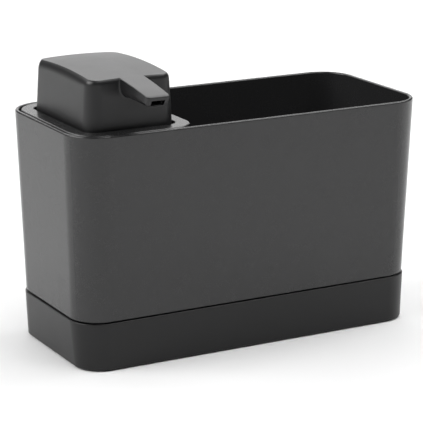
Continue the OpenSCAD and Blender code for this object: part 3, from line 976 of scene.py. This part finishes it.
class SpoutSection:
    """The spout's section across Y. ys and heights are the places of its side's upright rows, from the top.
    In the tip's rounded corners side_x narrows it, and its top edge turns by edge_turn degrees."""

    def __init__(self, ys, heights, half_w, keel_h, sweep_share=0.0, side_x=None, edge_turn=0):
        self.ys = ys
        self.heights = heights
        self.half_w = half_w
        self.keel_h = keel_h
        self.sweep_share = sweep_share
        self.side_x = half_w if side_x is None else side_x
        self.edge_turn = edge_turn

    def moved(self, x, y, z):
        """A point where the sweep of the spout's end leaves it."""
        return x, y + swept(crown(self.ys[-1]), z, self.sweep_share), z

    def under(self, a):
        x, z = keel_point(a, self.half_w, spout_z, self.keel_h)
        return self.moved(min(self.side_x, x), self.ys[-1], z)

    def side(self):
        """The right side's points, from the top edge down to the belly's corner."""
        points = []
        for row, (y, z) in enumerate(zip(self.ys, self.heights)):
            x = self.side_x
            if row <= SPOUT_EDGE_ROWS:
                a = 90 * row / SPOUT_EDGE_ROWS
                inset = spout_edge_r * (1 - sine(a))
                z = crown(y) - spout_edge_r * (1 - cosine(a))
                x -= inset * cosine(self.edge_turn)
                y += inset * sine(self.edge_turn)
            points.append(self.moved(x, y, z))
        return points + [self.under(a) for a in KEEL_ANGLES]

    def belly(self):
        """The points under the keel between the two corners, from left to right."""
        half = [self.under(a) for a in BELLY_ANGLES]
        middle = (0, *self.under(90)[1:])
        return [(-x, y, z) for x, y, z in half] + [middle] + half[::-1]

    def ring(self):
        """The section's points down the left, under the keel, up the right, and back along the top."""
        right = self.side()
        left = [(-x, y, z) for x, y, z in right]
        top_x, y, z = right[0]
        top = [(-top_x * x / mouth_half_w, y, z) for x in front_columns[under_spout]]
        return left + self.belly() + right[::-1] + top


def spout_section(y, share, side_x=None, edge_turn=0):
    """The section at a place, that share of the way from the root to the tip."""
    half_w = (spout_root_w + (spout_tip_w - spout_root_w) * share) / 2
    keel_h = keel_root_h + (keel_tip_h - keel_root_h) * share
    top_z = crown(y) - spout_edge_r
    heights = [top_z] * SPOUT_EDGE_ROWS + spread(top_z, spout_z + keel_h, UPRIGHT_ROWS - SPOUT_EDGE_ROWS)
    return SpoutSection([y] * UPRIGHT_ROWS, heights, half_w, keel_h, share, side_x, edge_turn).ring()


class HeadSkin(Skin):
    """The press head's outer and inner skins."""

    def arcs_and_sides(self, loop):
        """A head ring's four corners, from the front right one round by the back, and the side after each."""
        arcs = []
        sides = []
        start = 0
        for count in (SIDE_ROWS, len(front_columns)) * 2:
            side_start = start + HEAD_CORNER_STEPS + 1
            arcs.append(loop[start:side_start])
            start = side_start + count
            sides.append(loop[side_start:start])
        return arcs, sides

    def cap(self, loop, drop=0.0):
        """Fills a head ring with a grid that follows the crown, drop below it."""
        arcs, sides = self.arcs_and_sides(loop)
        right = [arcs[0][-1], *sides[0], arcs[1][0]]
        back = [arcs[2][0], *reversed(sides[1]), arcs[1][-1]]
        left = [arcs[3][0], *reversed(sides[2]), arcs[2][-1]]
        front = [arcs[3][-1], *sides[3], arcs[0][0]]
        xs = [self.place(v)[0] for v in front]
        grid = []
        for a, b in zip(left, right):
            y = (self.place(a)[1] + self.place(b)[1]) / 2
            grid.append([self.point(x, y, crown(y, x) - drop) for x in xs])
        rows = [front, *grid, back]
        for a, b in zip(rows, rows[1:]):
            self.strip(a, b, closed=False)
        self.strip([row[-1] for row in grid], right, closed=False)
        self.strip([row[0] for row in grid], left, closed=False)
        for arc, hub in zip(arcs, (grid[0][-1], grid[-1][-1], grid[-1][0], grid[0][0])):
            for a, b in zip(arc, arc[1:]):
                self.face(hub, a, b)

    def shell(self):
        """The crown and the walls. Gives back the border of the spout's mouth, in a section's order, and the
        lowest loop."""
        brow = brow_rings()
        foot = [foot_ring(foot_edge_r * (1 - cosine(a)), a) for a in (30, 60, 90)]
        rings = brow + wall_rings(brow[-1]) + foot
        first = len(rings[0]) - len(front_columns)
        left_i = first + under_spout.start - 1
        right_i = left_i + BELLY_COUNT + 1
        belly = range(left_i + 1, right_i)

        # The columns beside the mouth follow its sides, and go straight down below it
        for row in range(UPRIGHT_ROWS, len(rings)):
            a = KEEL_ANGLES[min(row - UPRIGHT_ROWS, len(KEEL_ANGLES) - 1)]
            for i, side in ((left_i, -1), (right_i, 1)):
                rings[row][i] = (side * mouth_point(a)[0], *rings[row][i][1:])
        for i, a in zip(belly, (*BELLY_ANGLES, 90, *reversed(BELLY_ANGLES))):
            rings[MOUTH_ROW][i] = (*rings[MOUTH_ROW][i][:2], mouth_point(a)[1])

        loops = []
        for row, points in enumerate(rings):
            hollow = belly if 0 < row < MOUTH_ROW else ()
            loops.append([None if i in hollow else self.point(*p) for i, p in enumerate(points)])
        for row, (a, b) in enumerate(zip(loops, loops[1:])):
            for i in range(len(a)):
                if row >= MOUTH_ROW or not left_i < i <= right_i:
                    self.face(a[i - 1], a[i], b[i], b[i - 1])
        self.cap(loops[0])

        beside = loops[:SPOUT_SIDE_ROWS]
        mouth = [loop[left_i] for loop in beside] + [loops[MOUTH_ROW][i] for i in belly]
        mouth += [loop[right_i] for loop in reversed(beside)] + [loops[0][i] for i in reversed(belly)]
        return mouth, loops[-1]

    def spout(self, mouth):
        """The spout, from the mouth's border to its end. Gives back the last loop."""
        border = [self.place(v) for v in mouth]
        ys = []
        heights = []
        for row, (x, y, z) in enumerate(border[:UPRIGHT_ROWS]):
            flare = root_flare_top + (root_flare - root_flare_top) * min(1, row / EDGE_ROWS)
            ys.append(y - flare)
            heights.append(z)
        root = SpoutSection(ys, heights, spout_root_w / 2, keel_root_h).ring()
        root_y = ys[-1]

        # The flare from the wall into the spout
        last = mouth
        for a in (20, 40, 60, 75, 90):
            points = []
            for (x, y, z), (end_x, end_y, end_z) in zip(border, root):
                new_y = y + (end_y - y) * (1 - cosine(a))
                drop = (crown(y) - z) * (1 - sine(a)) + (crown(end_y) - end_z) * sine(a)
                points.append((x + (end_x - x) * sine(a), new_y, crown(new_y) - drop))
            last = self.grow(last, points)

        straight_end_y = tip_y + tip_round
        for y in spread(root_y - first_section_l, straight_end_y, 7):
            last = self.grow(last, spout_section(y, (root_y - y) / (root_y - straight_end_y)))
        for a in (12, 25, 38, 52, 66, 78, 90):
            side_x = spout_tip_w / 2 - tip_round * (1 - cosine(a))
            last = self.grow(last, spout_section(tip_y + tip_round * (1 - sine(a)), 1, side_x, a))
        return last

    def spout_face(self, last):
        """Rolls the top edge over the spout's end, and gives back the border of the flat that is left."""
        left = last[:SPOUT_SIDE_ROWS]
        under = last[SPOUT_SIDE_ROWS:SPOUT_SIDE_ROWS + BELLY_COUNT]
        right = last[SPOUT_SIDE_ROWS + BELLY_COUNT:2 * SPOUT_SIDE_ROWS + BELLY_COUNT][::-1]
        row_above = last[2 * SPOUT_SIDE_ROWS + BELLY_COUNT:][::-1]
        for row in range(1, SPOUT_EDGE_ROWS + 1):
            edge_y, edge_z = self.place(left[row])[1:]
            new = [self.point(self.place(v)[0], edge_y, edge_z) for v in row_above]
            above = [left[row - 1], *row_above, right[row - 1]]
            self.strip(above, [left[row], *new, right[row]], closed=False)
            row_above = new
        return left[SPOUT_EDGE_ROWS:] + under + right[:SPOUT_EDGE_ROWS - 1:-1] + row_above[::-1]

    def outlet(self, border):
        """The swept end face round the outlet, the outlet's broken edge, and its hole as far as the duct."""
        half_w = outlet_w / 2 + outlet_edge
        half_h = outlet_h / 2 + outlet_edge
        low = outlet_z - half_h
        high = outlet_z + half_h
        tall = SPOUT_SIDE_ROWS - SPOUT_EDGE_ROWS
        across = spaced(-half_w, half_w, BELLY_COUNT)
        outer = ([(-half_w, z) for z in spread(high, low, tall)] + [(x, low) for x in across]
                 + [(half_w, z) for z in spread(low, high, tall)] + [(x, high) for x in reversed(across)])

        def on_face(x, z, depth=0.0):
            return x, tip_y + depth + swept(crown(tip_y), z, 1), z

        last = border
        for share in (0.35, 0.7, 1):
            points = []
            for v, end in zip(border, outer):
                x, y, z = self.place(v)
                points.append(on_face(*mixed((x, z), end, share)))
            last = self.grow(last, points)
        shrink_x = 1 - outlet_edge / half_w
        shrink_z = 1 - outlet_edge / half_h
        inner = [(x * shrink_x, outlet_z + (z - outlet_z) * shrink_z) for x, z in outer]
        last = self.grow(last, [on_face(x, z, outlet_edge) for x, z in inner])
        last = self.grow(last, [(x, duct_front_y + outlet_overlap, z) for x, z in inner])
        self.mesh.faces.new(last)

    def inside(self, foot):
        """The inner skin, from the outer one's foot up the walls and under the crown."""
        rings = [foot_ring(head_wall - foot_edge_r * (1 - cosine(a)), a) for a in (90, 60, 30, 0)]
        inner_brow = grown(head_brow, -head_wall)
        for a in (0, 22, 45, 67, 90):
            base = grown(inner_brow, -inner_edge_r * (1 - cosine(a)))
            rings.append([(x, y, crown(y, x) - head_wall - inner_edge_r * (1 - sine(a)))
                          for x, y, z in head_ring(base)])
        last = foot
        for points in rings:
            last = self.grow(last, points)
        self.cap(last, head_wall)


def core_boss():
    """The ring under the crown that holds the core."""
    foot_z = core.z1 - core_skirt_h
    top_z = crown_z - core_boss_root
    inner_r = core_r + push_gap
    outer_r = core_r + core_boss_t
    return turned("boss", [(inner_r, top_z, 0), (inner_r, foot_z, fine_edge), (outer_r, foot_z, fine_edge),
                           (outer_r, top_z, 0)])


def duct_channel():
    """The room for the duct, from the outlet back to the core."""
    half_w = duct.half_l + channel_gap
    low = duct.z0 - channel_gap
    high = duct.z1 + channel_gap
    rings = [[(-half_w, y, low), (half_w, y, low), (half_w, y, high), (-half_w, y, high)]
             for y in (duct_front_y, channel_end_y)]
    return Skin(x=pump_x).loft(rings).done("channel")


def make_head():
    skin = HeadSkin(x=pump_x)
    mouth, foot = skin.shell()
    skin.outlet(skin.spout_face(skin.spout(mouth)))
    skin.inside(foot)
    head = skin.done("press_head")
    combined(head, [core_boss()], "UNION")
    combined(head, [duct_channel()], "DIFFERENCE")
    finished(head, "head", "pump_head", head_plastic)


# Pump: pieces turned round its axis


def make_barrel():
    """The pump's barrel: flange, tapered end with the valve seat, and the socket for the suction tube."""
    socket_wall = 1.5
    socket_depth = 12
    seat_t = 2
    taper_h = 4
    seat_hole_share = 0.76
    seat_hole_r = inlet_ball.half_l * seat_hole_share
    ball_room_r = inlet_ball.half_l + ball_room
    socket_top = barrel.z0 + socket_depth
    seat_z = socket_top + seat_t
    socket_bore_r = tube.half_l + push_gap
    socket_r = socket_bore_r + socket_wall
    bead_places = (barrel.z1 - 20, seat_z + taper_h + 6)
    bead = [(0, 0.9), (0.35, 0.5), (0.35, -0.5), (0, -0.9)]
    shell = turned("pump_barrel", [
        (barrel.half_l, barrel.z1, soft_edge), (barrel.half_l, gasket.z1, crisp_edge),
        (barrel_r, gasket.z1, 0.15),
        *[(barrel_r + height, place + z, fine_edge) for place in bead_places for height, z in bead],
        (barrel_r, seat_z + taper_h, 1), (socket_r, seat_z, 0.8), (socket_r, barrel.z0, soft_edge),
        (socket_bore_r, barrel.z0, fine_edge), (socket_bore_r, socket_top, crisp_edge),
        (seat_hole_r, socket_top, crisp_edge), (seat_hole_r, seat_z, 0),
        (ball_room_r, seat_z, crisp_edge), (ball_room_r, cage.z0, crisp_edge),
        (bore_r, cage.z0, crisp_edge), (bore_r, barrel.z1, fine_edge),
    ])
    vent = []
    for x in (bore_r - overrun, barrel_r + overrun):
        vent.append([(x, vent_r * cosine(a), seal.mid_z + vent_r * sine(a)) for a in range(0, 360, 15)])
    combined(shell, [Skin(x=pump_x).loft(vent).done("vent")], "DIFFERENCE")
    finished(shell, "deck", "pump_cylinder", white_plastic)


def make_gasket():
    inner_r = barrel_r + flange_fit
    hoop = turned("flange_gasket", [
        (inner_r, gasket.z0, crisp_edge), (gasket.half_l, gasket.z0, fine_edge),
        (gasket.half_l, gasket.z1, fine_edge), (inner_r, gasket.z1, crisp_edge),
    ])
    finished(hoop, "deck", "cylinder_gasket", rubber)


def make_collar():
    """The clamping nut, with grips round its wall."""
    grips = 30
    steps = 6 * grips
    grip_depth = 0.4
    grip_shape = 0.6
    outer_r = collar.half_l
    inner_r = boss_r + thread_gap
    lip_r = bore_r + guide_rim_t + flange_fit
    profile = [(outer_r, collar.z0, 0.4), (outer_r, collar.z1, 0.6), (lip_r, collar.z1, soft_edge),
               (lip_r, barrel.z1, crisp_edge), (inner_r, barrel.z1, crisp_edge),
               (inner_r, collar.z0, fine_edge)]

    def hoop(r, z):
        """A ring of the nut, hollowed between the grips where it is on the outer wall."""
        depth = grip_depth if r > outer_r - 0.1 else 0
        points = []
        for i in range(steps):
            a = 360 * i / steps
            cut_r = r - depth * max(0, cosine(grips * a)) ** grip_shape
            points.append((cut_r * cosine(a), cut_r * sine(a), z))
        return points

    levels = softened([(round_level(r, z), edge) for r, z, edge in profile], closed=True)
    nut = Skin(x=pump_x).loft([hoop(one[1], one[-1]) for one in levels], closed=True).done("clamp_nut")
    finished(nut, "deck", "lock_collar", white_plastic)


def make_guide():
    """The bush that guides the stem, with a pocket for the wiper."""
    inner_r = stem_r + run_gap
    pocket_r = wiper.half_l + push_gap
    plug_r = bore_r - push_gap
    shell = turned("stem_bush", [
        (guide.half_l, barrel.z1, fine_edge), (guide.half_l, guide.z1, 0.5), (pocket_r, guide.z1, fine_edge),
        (pocket_r, wiper.z0, 0), (inner_r, wiper.z0, 0), (inner_r, guide.z0, fine_edge),
        (plug_r, guide.z0, 0.5), (plug_r, barrel.z1, 0),
    ])
    finished(shell, "deck", "stem_guide", white_plastic)


def make_wiper():
    """A lip ring: two lips towards the stem, with a groove between them."""
    lip_r = stem_r + run_gap
    lip_edge = 0.05
    lip_h = 0.3
    low = wiper.z0
    high = wiper.z1
    hoop = turned("wiper_ring", [
        (wiper.half_l, low, crisp_edge), (wiper.half_l, high, crisp_edge), (lip_r + 0.9, high, crisp_edge),
        (lip_r + 0.5, high - lip_h, crisp_edge), (lip_r, high, lip_edge), (lip_r, high - lip_h, lip_edge),
        (lip_r + 0.3, wiper.mid_z, crisp_edge), (lip_r, low + lip_h, lip_edge), (lip_r, low, lip_edge),
    ], steps=3)
    finished(hoop, "deck", "stem_wiper", rubber)


def make_cage():
    """The drilled disc over the suction ball."""
    hole_r = 0.9
    hole_count = 3
    hole_place = inlet_ball.half_l - hole_r
    disc = turned("valve_cage", [
        (axis_r, cage.z0, 0), (cage.half_l, cage.z0, fine_edge), (cage.half_l, cage.z1, fine_edge),
        (axis_r, cage.z1, 0),
    ], closed=False)
    drills = []
    for turn in range(hole_count):
        a = 360 * turn / hole_count
        hole = round_level(hole_r, 0, hole_place * cosine(a), hole_place * sine(a))
        drills.append(drill(hole, cage.z0, cage.z1, fine_edge, 6, x=pump_x))
    combined(disc, [joined(drills)], "DIFFERENCE")
    finished(disc, "deck", "inlet_cage", white_plastic)


def make_ball(name, box, body, node):
    """A valve ball, as a cube of quads drawn out to a sphere."""
    mesh = bmesh.new()
    bmesh.ops.create_cube(mesh, size=2)
    bmesh.ops.subdivide_edges(mesh, edges=mesh.edges, cuts=11, use_grid_fill=True)
    middle = Vector((pump_x, centre_y, box.mid_z)) * MM
    for vert in mesh.verts:
        vert.co = middle + vert.co.normalized() * box.half_l * MM
    finished(object_from(mesh, name), body, node, steel)


def make_tube():
    """The suction tube, with its foot cut on a slant."""
    tube_wall = 0.9
    slant = 40
    edge = 0.12
    outer_r = tube.half_l
    inner_r = outer_r - tube_wall
    slope = math.tan(math.radians(slant))

    def hoop(r, z, slope=0.0):
        around = [(r * cosine(a), r * sine(a)) for a in range(0, 360, 10)]
        return [(x, y, z + (x + outer_r) * slope) for x, y in around]

    rings = [hoop(outer_r - edge, tube.z0, slope), hoop(outer_r, tube.z0 + edge, slope),
             hoop(outer_r, tube.z1 - edge), hoop(outer_r - edge, tube.z1),
             hoop(inner_r + edge, tube.z1), hoop(inner_r, tube.z1 - edge),
             hoop(inner_r, tube.z0 + edge, slope), hoop(inner_r + edge, tube.z0, slope)]
    shell = Skin(x=pump_x).loft(rings, closed=True).done("suction_tube")
    finished(shell, "deck", "dip_tube", tube_plastic)


def upright_ring(half_w, half_h, r, y):
    """A rounded rectangle across Y, round the duct's middle."""
    points = []
    for turn, (side_x, side_z) in enumerate(((1, 1), (-1, 1), (-1, -1), (1, -1))):
        x = side_x * (half_w - r)
        z = duct.mid_z + side_z * (half_h - r)
        points += [(x + r * cosine(a), y, z + r * sine(a)) for a in range(90 * turn, 90 * turn + 91, 15)]
    return points


def make_core():
    """The chamber over the stem, with a way out to the duct."""
    neck_r = 5.5
    grip = 10
    roof = 2.2
    stem_top = core.z0 + grip
    ceiling_z = core.z1 - roof
    chamber_r = outlet_ball.half_l + ball_room
    grip_r = stem_r + push_gap
    shell = turned("pump_core", [
        (axis_r, core.z1, 0), (core.half_l, core.z1, 0.4), (core.half_l, stem_top, soft_edge),
        (neck_r, stem_top, 0.6), (neck_r, core.z0, 0.4), (grip_r, core.z0, soft_edge), (grip_r, stem_top, 0),
        (chamber_r, stem_top, 0), (chamber_r, ceiling_z, 0.5), (axis_r, ceiling_z, 0),
    ], closed=False)

    def tunnel(name, growth, r, front_y, back_y):
        rings = [upright_ring(duct.half_l + growth, duct_half_h + growth, r, y) for y in (front_y, back_y)]
        return Skin(x=pump_x).loft(rings).done(name)

    socket = tunnel("socket", push_gap, duct_edge_r + push_gap, -core.half_l - overrun, duct_back_y)
    way = tunnel("way", -duct_t, duct_bore_edge_r, duct_back_y - overrun, 0)
    combined(shell, [socket, way], "DIFFERENCE")
    finished(shell, "head", "actuator_core", core_plastic)


def make_duct():
    """The flat duct in the spout, with its edges broken at both ends."""
    edge = crisp_edge
    outer_r = duct_edge_r
    inner_r = duct_bore_edge_r
    places = [(0, outer_r, duct_back_y - edge), (0, outer_r, duct_front_y + edge),
              (edge, outer_r - edge / 2, duct_front_y), (duct_t - edge, inner_r + edge / 2, duct_front_y),
              (duct_t, inner_r, duct_front_y + edge), (duct_t, inner_r, duct_back_y - edge),
              (duct_t - edge, inner_r + edge / 2, duct_back_y), (edge, outer_r - edge / 2, duct_back_y)]
    rings = [upright_ring(duct.half_l - inset, duct_half_h - inset, r, y) for inset, r, y in places]
    shell = Skin(x=pump_x).loft(rings, closed=True).done("spout_channel")
    finished(shell, "head", "spout_duct", core_plastic)


def make_stem():
    """The hollow stem, with a thinner end that carries the piston."""
    step_z = seal.z1
    shell = turned("hollow_stem", [
        (stem_r, stem.z1, soft_edge), (stem_r, step_z, fine_edge), (spigot_r, step_z, crisp_edge),
        (spigot_r, stem.z0, fine_edge), (stem_bore_r, stem.z0, fine_edge), (stem_bore_r, stem.z1, 0),
    ])
    finished(shell, "head", "pump_stem", white_plastic)


def make_piston_seal():
    """Two cupped lips with a hollow between them."""
    hub_r = spigot_r + push_gap
    hub_top_r = 4.2
    cup_r = 4.6
    tip_r = 5.3
    lip_r = seal.half_l
    hollow_r = lip_r - 0.7
    lower = [(hub_r, 0, 0), (hub_top_r, 0, crisp_edge), (cup_r, 0.9, 0.15), (tip_r, 0, crisp_edge),
             (lip_r, 0.05, crisp_edge), (lip_r, 0.9, fine_edge), (hollow_r, 1.6, soft_edge)]
    corners = [(r, seal.z0 + depth, edge) for r, depth, edge in lower]
    corners += [(r, seal.z1 - depth, edge) for r, depth, edge in reversed(lower)]
    finished(turned("piston_lips", corners, steps=3), "head", "piston_seal", seal_plastic)


def make_retainer():
    """The cap under the piston, whose pilot centres the spring."""
    grip_r = spigot_r + push_gap
    pilot_r = 3.6
    shoulder_z = stem.z0
    shell = turned("piston_retainer_cap", [
        (grip_r, retainer.z1, crisp_edge), (retainer.half_l, retainer.z1, soft_edge),
        (retainer.half_l, shoulder_z, soft_edge), (pilot_r, shoulder_z, fine_edge),
        (pilot_r, retainer.z0, 0.7), (stem_bore_r, retainer.z0, fine_edge), (stem_bore_r, shoulder_z, 0),
        (grip_r, shoulder_z, 0),
    ])
    finished(shell, "head", "piston_retainer", white_plastic)


def make_spring():
    """A round wire in seven turns, the end ones closed."""
    wire_r = 0.45
    coil_r = spring.half_l - wire_r
    turns = 7
    turn_steps = 32
    wire_sides = 10
    closed_rise = 2.1 * wire_r
    closed_until = 0.8
    change = 0.4
    coil_h = spring.height - 2 * wire_r
    open_rise = (coil_h - 2 * closed_rise) / (turns - 2)

    def steepness(turn):
        """0 in the closed end turns, 1 in the open ones, with a soft change between."""
        from_foot = (turn - closed_until) / change
        from_top = (turns - closed_until - turn) / change
        return max(0, min(1, from_foot)) * max(0, min(1, from_top))

    def rise(turn):
        """Height above the first coil, before it is fitted to the spring's length."""
        steps = 24
        steep = sum(steepness(turn * (i + 0.5) / steps) for i in range(steps)) / steps
        return turn * (closed_rise + (open_rise - closed_rise) * steep)

    fit = coil_h / rise(turns)
    count = turns * turn_steps
    rings = []
    for step in range(count + 1):
        turn = turns * step / count
        a = 360 * turn
        z = spring.z0 + wire_r + rise(turn) * fit
        rings.append([((coil_r + wire_r * cosine(t)) * cosine(a), (coil_r + wire_r * cosine(t)) * sine(a),
                       z + wire_r * sine(t)) for t in range(0, 360, 360 // wire_sides)])
    wire = Skin(x=pump_x).loft(rings).done("spring_wire")
    finished(wire, "deck", "return_spring", steel)
    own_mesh(wire)


make_caddy()
make_tray()
make_pads()
make_bottle()
make_deck()
make_bottle_seal()
make_head()
make_barrel()
make_gasket()
make_collar()
make_guide()
make_wiper()
make_cage()
make_ball("suction_ball", inlet_ball, "inlet_valve", "inlet_ball")
make_ball("delivery_ball", outlet_ball, "outlet_valve", "outlet_ball")
make_tube()
make_core()
make_duct()
make_stem()
make_piston_seal()
make_retainer()
make_spring()

# Studio. Its places and sizes are metres.

floor_half_l = 6
backdrop_r = 5
backdrop_glow = 1.0
glow_start = 1.2
glow_end = 3
room_light = 0.02

# The camera as it was fitted to the photograph's edges. Its angles are degrees.
photo_lens = 172.76
photo_azimuth = -28.505
photo_elevation = 15.194
photo_distance = 1.06697
photo_aim = Vector((-3.01, 8.24, 62.41)) * MM


def aimed(name, data, place, target):
    """A light or camera at a place, facing its target."""
    made = bpy.data.objects.new(name, data)
    made.location = place
    made.rotation_euler = (Vector(target) - Vector(place)).to_track_quat("-Z", "Y").to_euler()
    scene.collection.objects.link(made)
    return made


def make_camera():
    data = bpy.data.cameras.new("camera")
    data.sensor_width = 36
    data.lens = photo_lens
    data.clip_start = 0.05
    data.clip_end = 30
    level_x = sine(photo_azimuth)
    level_y = -cosine(photo_azimuth)
    out = cosine(photo_elevation)
    back = Vector((level_x * out, level_y * out, sine(photo_elevation)))
    scene.camera = aimed("camera", data, photo_aim + back * photo_distance, photo_aim)


def panel(name, place, target, width, height, radiance):
    """A soft light panel that faces its target."""
    data = bpy.data.lights.new(name, "AREA")
    data.shape = "RECTANGLE"
    data.size = width
    data.size_y = height
    data.energy = radiance * math.pi * width * height
    aimed(name, data, place, target)


def make_room_light():
    """The faint even light of the room."""
    world = bpy.data.worlds.new("studio")
    scene.world = world
    world.use_nodes = True
    background = next(n for n in world.node_tree.nodes if n.type == "BACKGROUND")
    background.inputs["Color"].default_value = (1, 1, 1, 1)
    background.inputs["Strength"].default_value = room_light


def make_floor():
    """A white table whose far end glows as brightly as the backdrop."""
    mesh = bmesh.new()
    bmesh.ops.create_grid(mesh, x_segments=1, y_segments=1, size=floor_half_l)
    floor = object_from(mesh, "floor")
    finish = Finish("white_table", Base_Color=grey(0.9), Roughness=0.9, Emission_Strength=1)
    far = finish.node("ShaderNodeVectorMath", {"operation": "LENGTH"}, {0: finish.place()}, output="Value")
    finish.set("Emission Color", backdrop_glow * finish.share(far, glow_start, glow_end))
    floor.data.materials.append(finish.material)


def make_backdrop():
    """A white dome behind everything, which only the camera sees: it lights nothing."""
    mesh = bmesh.new()
    bmesh.ops.create_uvsphere(mesh, u_segments=48, v_segments=24, radius=backdrop_r)
    dome = object_from(mesh, "backdrop")
    dome.data.shade_smooth()
    paint = Finish("pale_backdrop", Base_Color=grey(0), Roughness=1, Emission_Color=grey(backdrop_glow),
                   Emission_Strength=1)
    dome.data.materials.append(paint.material)
    dome.visible_diffuse = False
    dome.visible_glossy = False
    dome.visible_transmission = False
    dome.visible_shadow = False


scene.view_settings.view_transform = "Standard"
scene.view_settings.look = "None"
make_camera()
panel("back_high", (0.0, 1.7, 1.5), (0, 0, 0), 3.2, 1.0, 2.02)
panel("high_right", (1.2, 1.7, 1.5), (0, 0, 0), 2.4, 1.0, 1.22)
panel("wall_right", (1.3, 2.2, 0.5), (1.3, 0, 0.5), 2.8, 1.0, 1.29)
panel("left_high", (-1.7, 0.3, 1.3), (0, 0, 0), 1.6, 0.9, 7.9)
panel("front_top", (0.6, -0.9, 1.5), (0.6, -0.9, 0), 2.0, 0.7, 4.5)
panel("right_top", (1.3, 0.0, 1.5), (1.2, 0.0, 0), 0.8, 1.6, 4.62)
make_room_light()
make_floor()
make_backdrop()
